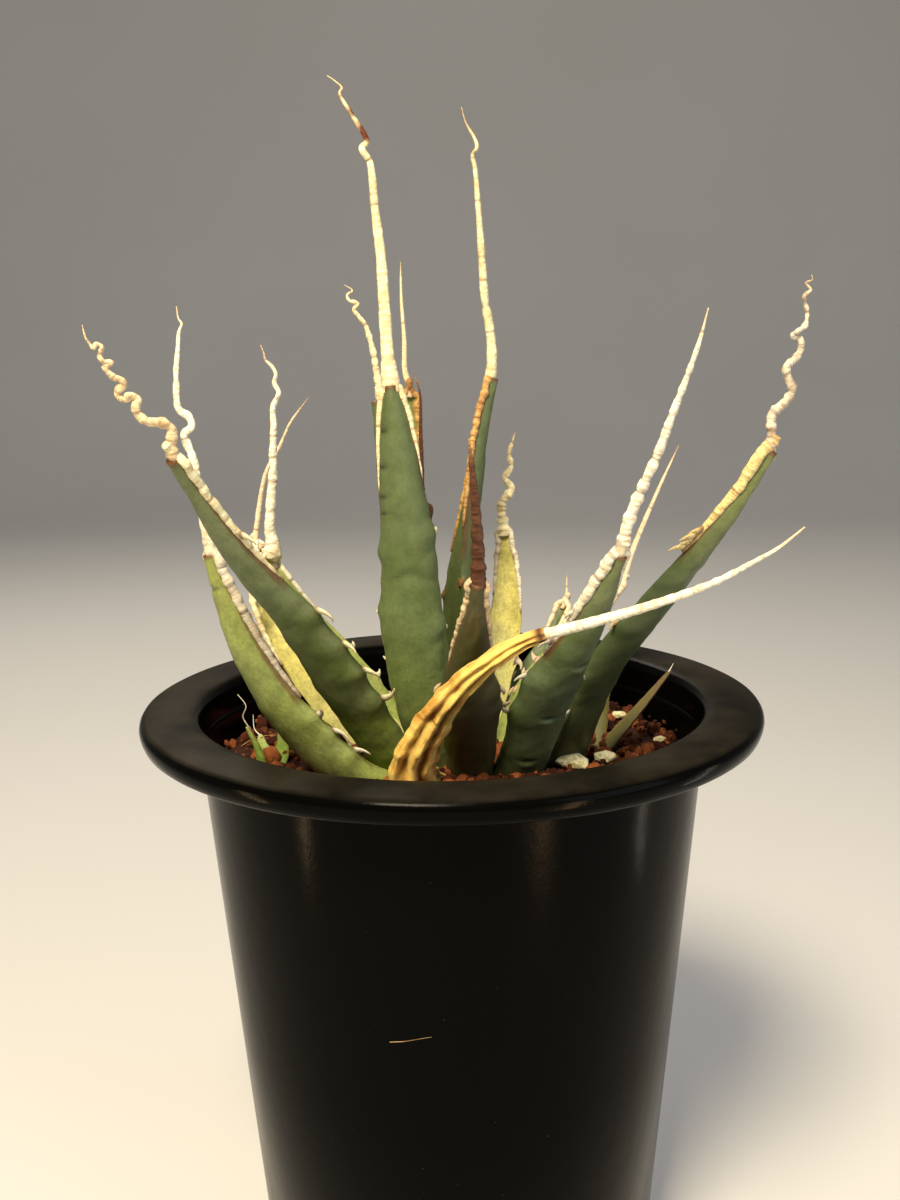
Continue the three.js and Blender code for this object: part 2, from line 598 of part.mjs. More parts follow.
const finish = (color, roughness) => new THREE.MeshStandardMaterial({ color, roughness, metalness: 0 });
const POT_PLASTIC = finish('#141414', 0.25);
const SOIL_GRIT = finish('#5a3420', 0.95);
const STEM_BARK = finish('#6b4a2c', 0.9);
const LEAF_SKIN = finish('#5d7a58', 0.55);
const IVORY = finish('#e9dcb4', 0.6);
const DRIED_SKIN = finish('#c98a3d', 0.7);

// Each plant piece is cut clear of the ones before it, from the heart of the rosette outwards
const pieces = [{ name: 'stem', make: stem, material: STEM_BARK }];
for (const leaf of LEAVES) {
  pieces.push({
    name: `leaf_${leaf.id}`, make: (grow) => blade(leaf, grow), material: LEAF_SKIN, hole: () => socket(leaf),
  });
  pieces.push({ name: `horn_${leaf.id}`, make: (grow) => horn(leaf, grow), material: IVORY });
}
pieces.push({ name: 'leaf_12', make: dryBlade, material: DRIED_SKIN });
pieces.push({ name: 'horn_12', make: dryHorn, material: IVORY });
for (const spec of PUPS) {
  pieces.push({ name: spec.name, make: (grow) => pup(spec, grow), material: finish(spec.colour, 0.6) });
}

const group = new THREE.Group();
const grown = [];
for (const piece of pieces) {
  let solid = piece.make(0);
  for (const other of grown) solid = solid.subtract(other);
  grown.push(piece.make(GAP));
  group.add(toMesh(piece.name, mainBody(solid), piece.material));
}
let ground = soil();
pieces.forEach((piece, index) => {
  ground = ground.subtract(piece.hole ? piece.hole() : grown[index]);
});
group.add(toMesh('soil', mainBody(ground), SOIL_GRIT));
group.add(toMesh('pot', pot(), POT_PLASTIC));

export default group;
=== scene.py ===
"""The looks of a potted utah agave: a black pot, gritty soil, and leaves with long ivory spines.

Lengths are millimetres until a mesh is written. A leaf is described as its solid is: a line from base to
tip, a width, and the compass angle that its upper side faces. Places along it are shares of its length.
"""

import logging
import math
from dataclasses import dataclass
from enum import Enum

import bpy
import numpy as np
from mathutils import Matrix


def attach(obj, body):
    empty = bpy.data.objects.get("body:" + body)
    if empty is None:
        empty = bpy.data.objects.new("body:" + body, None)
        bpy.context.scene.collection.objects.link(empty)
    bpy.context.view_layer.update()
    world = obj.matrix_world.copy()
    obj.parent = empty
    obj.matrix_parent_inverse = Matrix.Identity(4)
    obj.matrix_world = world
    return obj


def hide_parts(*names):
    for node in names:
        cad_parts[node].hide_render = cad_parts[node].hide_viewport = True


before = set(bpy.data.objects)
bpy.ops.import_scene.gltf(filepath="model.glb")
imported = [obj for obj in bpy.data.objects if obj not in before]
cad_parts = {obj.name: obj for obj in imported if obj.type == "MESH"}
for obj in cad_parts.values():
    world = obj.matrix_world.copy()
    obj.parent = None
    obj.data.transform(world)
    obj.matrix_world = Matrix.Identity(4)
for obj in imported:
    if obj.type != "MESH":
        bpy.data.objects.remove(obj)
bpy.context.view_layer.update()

logging.basicConfig(level=logging.INFO, format="%(message)s")
log = logging.getLogger("agave")

Array = np.ndarray
Chance = np.random.Generator
Piece = bpy.types.Object
Material = bpy.types.Material
Socket = bpy.types.NodeSocket
Pair = tuple[float, float]
Point = tuple[float, float, float]
Line = tuple[Point, ...]
Tone = tuple[int, int, int]

MM = 0.001  # a millimetre in Blender's metres
DOUBLED = 1e-6  # how close doubled points lie, in metres
NEARLY_FLAT = 1e-6  # what is still nothing after rounding
BODY = "root"


def lerp(first: float | Array, last: float | Array, share: float | Array) -> float | Array:
    """Goes from first to last as share goes from 0 to 1."""
    return first + (last - first) * share


def smooth_step(share: Array) -> Array:
    """Eases a share in and out between 0 and 1."""
    held = np.clip(share, 0, 1)
    return held * held * (3 - 2 * held)


def bell(distance: Array, reach: float) -> Array:
    """A round hump that is 1 at no distance and fades over reach."""
    return np.exp(-((distance / reach) ** 2))


def unit(vectors: Array) -> Array:
    """Scales each vector to length 1."""
    return vectors / np.linalg.norm(vectors, axis=-1, keepdims=True)


def linear(tone: Tone) -> tuple[float, float, float, float]:
    """Turns a display colour of 0 to 255 into the linear light that a shader takes."""
    shares = [value / 255 for value in tone]
    light = [s / 12.92 if s <= 0.04045 else ((s + 0.055) / 1.055) ** 2.4 for s in shares]
    return (light[0], light[1], light[2], 1.0)


def smooth_line(points: Line | Array, count: int) -> Array:
    """Draws a centripetal curve through points and steps along it evenly.

    Args:
        points: The points that the curve passes through.
        count: How many evenly spaced points to return.

    Returns:
        An array of count points.
    """
    given = np.asarray(points, float)
    ends = (2 * given[0] - given[1], 2 * given[-1] - given[-2])
    knots = np.vstack([ends[0], given, ends[1]])
    gaps = np.sqrt(np.linalg.norm(np.diff(knots, axis=0), axis=1))
    share = np.linspace(0, 1, 40, endpoint=False)[:, None]
    stretches = []
    for i in range(1, len(knots) - 2):
        before, here, after = gaps[i - 1 : i + 2]
        a, b, c, d = knots[i - 1 : i + 3]
        leave = ((b - a) / before - (c - a) / (before + here) + (c - b) / here) * here
        arrive = ((c - b) / here - (d - b) / (here + after) + (d - c) / after) * here
        cube, square = share**3, share**2
        stretches.append(
            (2 * cube - 3 * square + 1) * b
            + (cube - 2 * square + share) * leave
            + (3 * square - 2 * cube) * c
            + (cube - square) * arrive
        )
    fine = np.vstack([*stretches, given[-1:]])
    run = np.r_[0, np.cumsum(np.linalg.norm(np.diff(fine, axis=0), axis=1))]
    wanted = np.linspace(0, run[-1], count)
    return np.stack([np.interp(wanted, run, fine[:, axis]) for axis in range(3)], axis=1)


def length_of(points: Array) -> float:
    """The length of a line through points."""
    return float(np.linalg.norm(np.diff(points, axis=0), axis=1).sum())


def even_line(points: Line | Array, step: float, rough: int = 60, least: int = 2) -> Array:
    """Draws a curve through points in even steps of about a given length.

    Args:
        points: The points that the curve passes through.
        step: The length of a step.
        rough: How many points its length is first measured with.
        least: How many points it has at least.

    Returns:
        The points of the curve.
    """
    return smooth_line(points, max(least, int(length_of(smooth_line(points, rough)) / step)))


def cross_section(sides: int) -> tuple[Array, Array, Array]:
    """Goes once round a blade or horn.

    Args:
        sides: How many points it has round it.

    Returns:
        How far each point lies across, from -1 to 1, how far up, and how thick a blade is there.
    """
    turn = np.arange(sides) * math.tau / sides
    side = np.sin(turn)[None]
    return side, np.cos(turn)[None], np.sqrt(np.clip(1 - side * side, 0, 1))


@dataclass(frozen=True)
class Track:
    """Points along a line with the directions along it, up from it and across it to the right."""

    point: Array
    along: Array
    up: Array
    across: Array

    @property
    def run(self) -> Array:
        """The distance from the start to each point."""
        return np.r_[0, np.cumsum(np.linalg.norm(np.diff(self.point, axis=0), axis=1))]

    @property
    def share(self) -> Array:
        """The share of the length at each point."""
        return self.run / self.run[-1]

    def lay(self, right: Array, raised: Array) -> Array:
        """Rows of points, each to the right of the track and above it by the given lengths."""
        beside = self.point[:, None] + self.across[:, None] * right[..., None]
        return beside + self.up[:, None] * raised[..., None]


def track_along(points: Array, facing: Array) -> Track:
    """Gives a line its directions.

    Args:
        points: Evenly spaced points.
        facing: The wanted up direction, one for each point, or a single one that is carried along.

    Returns:
        The track.
    """
    along = unit(np.gradient(points, axis=0))
    if facing.ndim == 1:
        carried = [facing]
        for direction in along:
            last = carried[-1]
            carried.append(unit(last - direction * (last @ direction)))
        facing = np.array(carried[1:])
    up = unit(facing - along * (facing * along).sum(1, keepdims=True))
    return Track(points, along, up, np.cross(along, up))


def ripple(run: Array, wavelength: float, chance: Chance) -> Array:
    """An uneven wave between about -1 and 1 along a distance.

    Args:
        run: The distances.
        wavelength: The length of its longest wave.
        chance: Draws its phases.

    Returns:
        The wave's height at each distance.
    """
    phases = chance.uniform(0, math.tau, 3)
    waves = [(1.0, 0.55), (0.57, 0.3), (0.31, 0.15)]
    return sum(
        height * np.sin(math.tau * run / (wavelength * size) + phase)
        for (size, height), phase in zip(waves, phases)
    )


def grooves(run: Array, spacing: float, width: float, chance: Chance) -> Array:
    """Narrow cracks at uneven places along a distance, each from 0 beside it to at most 1 in it.

    Args:
        run: The distances.
        spacing: The usual distance between two cracks.
        width: How wide a crack is.
        chance: Draws their places and depths.

    Returns:
        How deep in a crack each distance is.
    """
    depth = np.zeros_like(run)
    place = run[0] + spacing * chance.uniform(0.2, 1)
    while place < run[-1]:
        depth = np.maximum(depth, chance.uniform(0.25, 1) ** 1.6 * bell(run - place, width))
        place += spacing * chance.uniform(0.3, 2.2)
    return depth


def deselect() -> None:
    """Leaves edit mode and clears the selection, so that an operator acts on its own piece alone."""
    if bpy.context.object and bpy.context.object.mode != "OBJECT":
        bpy.ops.object.mode_set(mode="OBJECT")
    bpy.ops.object.select_all(action="DESELECT")


def pick(piece: Piece) -> None:
    """Makes one piece the selected and active one."""
    deselect()
    piece.select_set(True)
    bpy.context.view_layer.objects.active = piece


def name_new(name: str) -> Piece:
    """Names the primitive that an operator has just added."""
    made = bpy.context.object
    made.name = name
    made.data.name = name
    return made


def settled(name: str) -> Piece:
    """Names a new primitive and applies its place to its mesh."""
    made = name_new(name)
    bpy.ops.object.transform_apply(location=True, rotation=True, scale=True)
    return made


def edit_all() -> None:
    """Opens the active piece in edit mode with all of it selected."""
    bpy.ops.object.mode_set(mode="EDIT")
    bpy.ops.mesh.select_all(action="SELECT")


def face_outwards() -> None:
    """Turns the faces of the active piece outwards."""
    edit_all()
    bpy.ops.mesh.normals_make_consistent(inside=False)
    bpy.ops.object.mode_set(mode="OBJECT")


def placed(name: str, data: bpy.types.ID) -> Piece:
    """Puts a new object with the given data into the scene."""
    made = bpy.data.objects.new(name, data)
    bpy.context.scene.collection.objects.link(made)
    return made


def cover(piece: Piece, finish: Material) -> None:
    """Gives a piece its one material."""
    piece.data.materials.clear()
    piece.data.materials.append(finish)


def rolled(name: str, rings: Array, values: dict[str, Array]) -> Piece:
    """Rolls a grid into a closed skin over rings of points.

    Args:
        name: The piece's name.
        rings: Rows of points, each going once round from the upper side by the right.
        values: Numbers to keep on the skin, one for each point.

    Returns:
        The skin, closed at its seam and drawn to a point at both ends.
    """
    rows, sides = rings.shape[:2]
    ends = [np.repeat(rings[i].mean(0, keepdims=True), sides, axis=0)[None] for i in (0, -1)]
    rings = np.concatenate([ends[0], rings, ends[1]])
    deselect()
    bpy.ops.mesh.primitive_grid_add(x_subdivisions=sides, y_subdivisions=rows + 1, size=1)
    made = name_new(name)
    mesh = made.data
    flat = np.empty(len(mesh.vertices) * 3)
    mesh.vertices.foreach_get("co", flat)
    flat = flat.reshape(-1, 3)
    column = np.rint((flat[:, 0] + 0.5) * sides).astype(int) % sides
    row = np.rint((flat[:, 1] + 0.5) * (rows + 1)).astype(int)
    mesh.vertices.foreach_set("co", (rings[row, column] * MM).ravel())
    for key, value in values.items():
        full = np.broadcast_to(value if value.ndim == 2 else value[:, None], (rows, sides))
        full = np.concatenate([full[:1], full, full[-1:]])
        kept = mesh.attributes.new(key, "FLOAT", "POINT")
        kept.data.foreach_set("value", np.ascontiguousarray(full[row, column], np.float32))
    edit_all()
    bpy.ops.mesh.remove_doubles(threshold=DOUBLED)
    bpy.ops.object.mode_set(mode="OBJECT")
    bpy.ops.object.shade_smooth()
    return made


def rings_round(track: Track, wide: Array, high: Array, sides: int) -> Array:
    """Ovals round a track, in rows.

    Args:
        track: The line that they go round.
        wide: The half width of each across the track.
        high: The half height of each.
        sides: How many points each has.

    Returns:
        The rows of points.
    """
    side, upright, _ = cross_section(sides)
    return track.lay(wide[:, None] * side, high[:, None] * upright)


def joined(name: str, pieces: list[Piece]) -> Piece:
    """Joins pieces into one and names it."""
    pick(pieces[0])
    for piece in pieces:
        piece.select_set(True)
    if len(pieces) > 1:
        bpy.ops.object.join()
    return name_new(name)


def dress(piece: Piece, finish: Material) -> Piece:
    """Gives a new piece its material and its body, and logs its face count.

    Args:
        piece: The finished piece.
        finish: Its material.

    Returns:
        The piece.
    """
    cover(piece, finish)
    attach(piece, BODY)
    log.info("%s: %d faces", piece.name, len(piece.data.polygons))
    return piece


class Shader:
    """A material's nodes, with a short method for each kind that the finishes share."""

    def __init__(self, name: str) -> None:
        """Starts a material with one principled surface."""
        self.material = bpy.data.materials.new(name)
        self.material.use_nodes = True
        self.tree = self.material.node_tree
        self.surface = self.tree.nodes["Principled BSDF"]

    def feed(self, value: Socket | float | Tone, target: Socket) -> None:
        """Joins a socket to another one, or sets the number or tone that is given instead."""
        if isinstance(value, tuple):
            target.default_value = linear(value)
        elif isinstance(value, (int, float)):
            target.default_value = value
        else:
            self.tree.links.new(value, target)

    def node(self, kind: str, inputs: dict, **settings: object) -> bpy.types.Node:
        """Adds a node, sets its properties and feeds its inputs."""
        made = self.tree.nodes.new(kind)
        for key, value in settings.items():
            setattr(made, key, value)
        for key, value in inputs.items():
            self.feed(value, made.inputs[key])
        return made

    def set(self, **values: object) -> None:
        """Sets constants on the surface, with underscores for the spaces in their names."""
        for key, value in values.items():
            self.surface.inputs[key.replace("_", " ")].default_value = value

    def attribute(self, name: str) -> Socket:
        """A number kept on the mesh."""
        return self.node("ShaderNodeAttribute", {}, attribute_name=name).outputs["Fac"]

    def stretched(self, source: Socket, stretch: Point) -> Socket:
        """A point stretched by a factor on each axis."""
        mapping = self.node("ShaderNodeMapping", {"Vector": source})
        mapping.inputs["Scale"].default_value = stretch
        return mapping.outputs["Vector"]

    def place(self, stretch: Point = (1, 1, 1)) -> Socket:
        """The point in the part's frame, in metres, stretched by a factor on each axis."""
        return self.stretched(self.node("ShaderNodeTexCoord", {}).outputs["Object"], stretch)

    def skin(self, stretch: Point) -> Socket:
        """The piece's own map: round it and along it, stretched by a factor each way."""
        return self.stretched(self.node("ShaderNodeUVMap", {}).outputs["UV"], stretch)

    def noise(self, where: Socket, scale: float, detail: float = 3) -> Socket:
        """Cloudy noise between 0 and 1."""
        inputs = {"Vector": where, "Scale": scale, "Detail": detail}
        return self.node("ShaderNodeTexNoise", inputs).outputs["Fac"]

    def ramp(self, share: Socket, stops: list[tuple[float, Tone]]) -> Socket:
        """Colours from a share."""
        made = self.node("ShaderNodeValToRGB", {"Fac": share})
        points = made.color_ramp.elements
        while len(points) < len(stops):
            points.new(1)
        for point, (place, tone) in zip(points, stops):
            point.position = place
            point.color = linear(tone)
        return made.outputs["Color"]

    def span(self, share: Socket, low: float, high: float, first: float = 0, last: float = 1) -> Socket:
        """Maps the range from low to high onto first to last, and holds it there."""
        inputs = {"Value": share, "From Min": low, "From Max": high, "To Min": first, "To Max": last}
        return self.node("ShaderNodeMapRange", inputs).outputs["Result"]

    def sum(self, kind: str, first: Socket, second: Socket | float) -> Socket:
        """Adds, multiplies or otherwise combines two numbers."""
        return self.node("ShaderNodeMath", {0: first, 1: second}, operation=kind).outputs[0]

    def mix(self, share: Socket, first: Socket | Tone, second: Tone) -> Socket:
        """Mixes two colours."""
        return self.node("ShaderNodeMix", {0: share, 6: first, 7: second}, data_type="RGBA").outputs[2]

    def tint(self, body: Socket, tone: Tone, share: Socket, reach: Pair, amount: Pair) -> Socket:
        """Lays a tone over a colour, by the first to the last amount as a share goes through a reach."""
        return self.mix(self.span(share, *reach, *amount), body, tone)

    def bump(self, height: Socket, depth: float, under: Socket | None = None) -> Socket:
        """Tilts the surface by a height of depth millimetres, over an earlier bump if there is one."""
        inputs = {"Distance": depth * MM, "Height": height}
        if under:
            inputs["Normal"] = under
        return self.node("ShaderNodeBump", inputs).outputs["Normal"]

    def finish(self, colour: Socket, roughness: Socket | float, normal: Socket) -> Material:
        """Joins colour, roughness and relief to the surface and hands the material over."""
        for key, value in (("Base Color", colour), ("Roughness", roughness), ("Normal", normal)):
            self.feed(value, self.surface.inputs[key])
        return self.material


@dataclass(frozen=True)
class LeafSkin:
    """The waxy green skin of a leaf, which changes from its foot to its tip, with painted shade in its
    dents and slits.
    """

    foot: Tone = (112, 118, 58)
    low: Tone = (106, 118, 66)
    middle: Tone = (128, 136, 86)
    high: Tone = (136, 142, 84)
    wax: float = 0.35
    pale: Tone = (176, 178, 140)
    shade: Tone = (62, 72, 38)
    stain: Tone = (96, 58, 26)
    # The tone of the painted shade in dents and slits.
    painted_shade: Tone = (36, 34, 18)

    def make(self, name: str) -> Material:
        """Builds the material under a name."""
        shader = Shader(name)
        where = shader.place()
        cloud = shader.noise(where, 90, 4)
        streak = shader.noise(shader.skin((30, 4, 1)), 3, 4)
        stops = [(0.0, self.foot), (0.3, self.low), (0.62, self.middle), (0.95, self.high)]
        body = shader.ramp(shader.attribute("along"), stops)
        body = shader.tint(body, self.pale, cloud, (0.35, 0.7), (0, self.wax))
        body = shader.tint(body, self.shade, shader.noise(where, 240, 5), (0.42, 0.74), (0, 0.5))
        body = shader.tint(body, self.shade, shader.noise(where, 1300), (0.4, 0.7), (0, 0.28))
        body = shader.tint(body, self.shade, streak, (0.3, 0.7), (0.16, 0))
        body = shader.tint(body, self.stain, shader.noise(where, 900, 2), (0.66, 0.74), (0, 0.35))
        body = shader.mix(shader.attribute("edge"), body, self.stain)
        # Painted shade in the dents and slits.
        body = shader.mix(shader.attribute("painted_shade"), body, self.painted_shade)
        relief = shader.bump(streak, 0.06, shader.bump(shader.noise(where, 2600, 2), 0.05))
        relief = shader.bump(shader.noise(where, 260), 0.22, relief)
        shader.set(Specular_IOR_Level=0.42, Subsurface_Weight=0.06, Subsurface_Scale=0.002)
        shader.set(Subsurface_Radius=(0.5, 1.0, 0.25))
        return shader.finish(body, shader.span(cloud, 0.3, 0.7, 0.38, 0.6), relief)


@dataclass(frozen=True)
class Ivory:
    """The bone-like stuff of horns, margins and teeth."""

    root: Tone = (234, 222, 180)
    body: Tone = (238, 230, 186)
    tip: Tone = (216, 188, 146)
    crack: Tone = (104, 62, 30)
    stain: Tone = (96, 40, 10)
    blotch: float = 0.5
    blotch_tone: Tone = (196, 156, 92)

    def make(self, name: str) -> Material:
        """Builds the material under a name."""
        shader = Shader(name)
        where = shader.place()
        patch = shader.noise(where, 150, 4)
        fine = shader.noise(where, 1100)
        rings = shader.noise(shader.skin((2.5, 70, 1)), 1)
        stops = [(0.0, self.root), (0.1, self.body), (0.84, self.body), (1.0, self.tip)]
        body = shader.ramp(shader.attribute("along"), stops)
        body = shader.tint(body, self.blotch_tone, patch, (0.5, 0.72), (0, self.blotch))
        body = shader.tint(body, self.blotch_tone, fine, (0.58, 0.75), (0, 0.4))
        body = shader.tint(body, self.blotch_tone, rings, (0.38, 0.5), (0.5, 0))
        body = shader.mix(shader.sum("MULTIPLY", shader.attribute("crack"), 0.95), body, self.crack)
        body = shader.mix(shader.attribute("stain"), body, self.stain)
        relief = shader.bump(rings, 0.2, shader.bump(fine, 0.15))
        relief = shader.bump(shader.noise(where, 420), 0.45, relief)
        shader.set(Specular_IOR_Level=0.4, Subsurface_Weight=0.15, Subsurface_Scale=0.0012)
        shader.set(Subsurface_Radius=(1.0, 0.75, 0.45))
        return shader.finish(body, shader.span(patch, 0.3, 0.7, 0.42, 0.62), relief)


@dataclass(frozen=True)
class DriedSkin:
    """Dead leaf: golden tan on the ridges, with dark brown streaks and dark brown painted shade in the
    folds.
    """

    light: Tone = (255, 218, 118)
    tan: Tone = (214, 148, 58)
    # dark colours the brown streaks, and also the painted shade in the folds.
    dark: Tone = (92, 44, 8)

    def make(self, name: str) -> Material:
        """Builds the material under a name."""
        shader = Shader(name)
        where = shader.place()
        cloud = shader.noise(where, 130, 5)
        body = shader.ramp(cloud, [(0.3, self.tan), (0.52, self.light), (0.75, self.tan)])
        streak = shader.noise(shader.skin((12, 1.3, 1)), 3, 4)
        body = shader.tint(body, self.dark, streak, (0.3, 0.46), (0.45, 0))
        # Painted shade in the folds and towards one side, plus the dark joint at the spine.
        body = shader.mix(shader.attribute("painted_shade"), body, self.dark)
        relief = shader.bump(streak, 0.3, shader.bump(shader.noise(where, 1500), 0.12))
        shader.set(Specular_IOR_Level=0.35, Subsurface_Weight=0.05, Subsurface_Scale=0.001)
        return shader.finish(body, shader.span(cloud, 0.3, 0.7, 0.5, 0.75), relief)


@dataclass(frozen=True)
class PotPlastic:
    """Glossy black moulded plastic, finely scuffed, with a grey film on top that is partly dust and partly
    painted sheen.
    """

    body: Tone = (4, 4, 3)
    dust_and_sheen_tone: Tone = (92, 84, 68)
    rim_start: float = 0.1492

    def make(self, name: str) -> Material:
        """Builds the material under a name."""
        shader = Shader(name)
        where = shader.place()
        grit = shader.noise(where, 1400, 2)
        height = shader.node("ShaderNodeSeparateXYZ", {0: where}).outputs["Z"]
        top = shader.span(height, self.rim_start, self.rim_start + 0.0006)
        # The rim's top gets a grey film that is partly dust and partly a painted sheen for its greyish
        # gloss.
        dust_and_sheen_film = shader.span(shader.noise(where, 70, 4), 0.3, 0.75, 0.03, 0.22)
        colour = shader.mix(shader.sum("MULTIPLY", top, dust_and_sheen_film), self.body, self.dust_and_sheen_tone)
        colour = shader.tint(colour, self.dust_and_sheen_tone, grit, (0.77, 0.8), (0, 0.5))
        smear = shader.noise(shader.place((1, 1, 0.12)), 45, 4)
        gloss = shader.span(smear, 0.3, 0.75, 0.12, 0.24)
        rough = shader.sum("ADD", gloss, shader.sum("MULTIPLY", top, 0.3))
        relief = shader.bump(grit, 0.02, shader.bump(shader.noise(where, 160, 2), 0.06))
        shader.set(Specular_IOR_Level=0.035)
        return shader.finish(colour, rough, relief)


@dataclass(frozen=True)
class SoilGrit:
    """Rusty brown crumbs of volcanic soil, each with a shade of its own."""

    dark: Tone = (30, 12, 6)
    rust: Tone = (72, 32, 13)
    light: Tone = (146, 82, 42)

    def make(self, name: str) -> Material:
        """Builds the material under a name."""
        shader = Shader(name)
        where = shader.place()
        own = shader.attribute("grain")
        cloud = shader.noise(where, 420, 5)
        share = shader.sum("ADD", shader.sum("MULTIPLY", own, 0.6), shader.sum("MULTIPLY", cloud, 0.5))
        body = shader.ramp(share, [(0.15, self.dark), (0.5, self.rust), (0.85, self.light)])
        relief = shader.bump(shader.noise(where, 1300, 4), 0.5)
        shader.set(Specular_IOR_Level=0.2)
        return shader.finish(body, 0.92, relief)


@dataclass(frozen=True)
class Pumice:
    """Pale porous stone."""

    light: Tone = (252, 246, 200)
    shade: Tone = (212, 196, 130)

    def make(self, name: str) -> Material:
        """Builds the material under a name."""
        shader = Shader(name)
        where = shader.place()
        pores = shader.noise(where, 900, 4)
        body = shader.ramp(pores, [(0.35, self.shade), (0.55, self.light)])
        shader.set(Specular_IOR_Level=0.25)
        return shader.finish(body, 0.9, shader.bump(pores, 0.8))


@dataclass(frozen=True)
class Bark:
    """The short woody stem and dry fibres."""

    light: Tone = (150, 112, 66)
    dark: Tone = (70, 44, 24)

    def make(self, name: str) -> Material:
        """Builds the material under a name."""
        shader = Shader(name)
        rings = shader.noise(shader.place((1, 1, 5)), 240, 5)
        body = shader.ramp(rings, [(0.35, self.dark), (0.6, self.light)])
        shader.set(Specular_IOR_Level=0.2)
        return shader.finish(body, 0.88, shader.bump(rings, 0.8))


class Relief(Enum):
    """How a horn or margin is shaped along its length.

    knob is how much it swells and narrows, and cut how deep its cracks are, as shares of its girth. wave is
    the length of a swelling, and spacing the usual distance between two cracks.
    """

    SMOOTH = (0.06, 9.0, 0.06, 7.0)
    WAVY = (0.12, 6.0, 0.07, 5.0)
    SEGMENTED = (0.14, 4.0, 0.22, 2.6)
    KNOBBLY = (0.24, 3.4, 0.16, 3.0)

    def __init__(self, knob: float, wave: float, cut: float, spacing: float) -> None:
        """Keeps the four measures."""
        self.knob = knob
        self.wave = wave
        self.cut = cut
        self.spacing = spacing


CREAM = Ivory()
CHALK = Ivory(body=(240, 236, 214), blotch=0.25, tip=(220, 190, 150))
TAN = Ivory(root=(196, 158, 110), body=(228, 208, 166), blotch=0.6, blotch_tone=(156, 112, 66))
RUST = Ivory(root=(58, 30, 12), body=(92, 50, 22), tip=(176, 140, 96), blotch_tone=(48, 24, 10))
BURNT = Ivory(root=(120, 72, 34), body=(206, 164, 96), blotch=0.8, blotch_tone=(124, 66, 28))
ROSE = Ivory(root=(206, 170, 130), body=(232, 212, 180), tip=(196, 152, 122), blotch=0.15)
GOLD = Ivory(root=(226, 190, 110), body=(236, 214, 146), blotch=0.8, blotch_tone=(150, 92, 40))
BRITTLE = Ivory(body=(222, 214, 190), crack=(84, 50, 26), blotch=0.6, blotch_tone=(168, 126, 80))

SILVER_GREEN = LeafSkin(
    foot=(172, 200, 60), low=(92, 106, 44), middle=(92, 106, 58), high=(108, 118, 72), wax=0.3,
    pale=(140, 150, 112),
)
GREY_GREEN = LeafSkin(
    foot=(72, 80, 38), low=(82, 98, 58), middle=(82, 98, 60), high=(98, 108, 58), wax=0.4,
    pale=(128, 140, 108),
)
# Painted shade at the foot and low on the blade, where this leaf lies in shadow behind the leaf in front;
# the upper tones are its own colour.
SHADED_FOOT_GREEN = LeafSkin(
    foot=(70, 62, 10), low=(62, 70, 34), middle=(66, 82, 46), high=(112, 122, 66), wax=0.25,
    pale=(120, 134, 96),
)
YELLOW_GREEN = LeafSkin(
    foot=(156, 170, 78), low=(144, 156, 80), middle=(150, 162, 82), high=(146, 154, 74), wax=0.2,
    pale=(176, 184, 128),
)
PALE_YELLOW = LeafSkin(
    foot=(190, 184, 96), low=(196, 190, 104), middle=(232, 220, 122), high=(238, 228, 134), wax=0.25,
    pale=(226, 218, 160),
)
# Painted shade: a darkened copy of the leaf skin, for the leaf whose underside faces down, away from the
# light.
SHADED_OLIVE = LeafSkin(foot=(88, 82, 34), low=(56, 50, 14), middle=(62, 54, 20), high=(74, 66, 30), wax=0.1)
DEEP_GREEN = LeafSkin(
    foot=(112, 124, 60), low=(108, 124, 66), middle=(86, 102, 54), high=(88, 100, 56), wax=0.2,
    pale=(128, 144, 104),
)


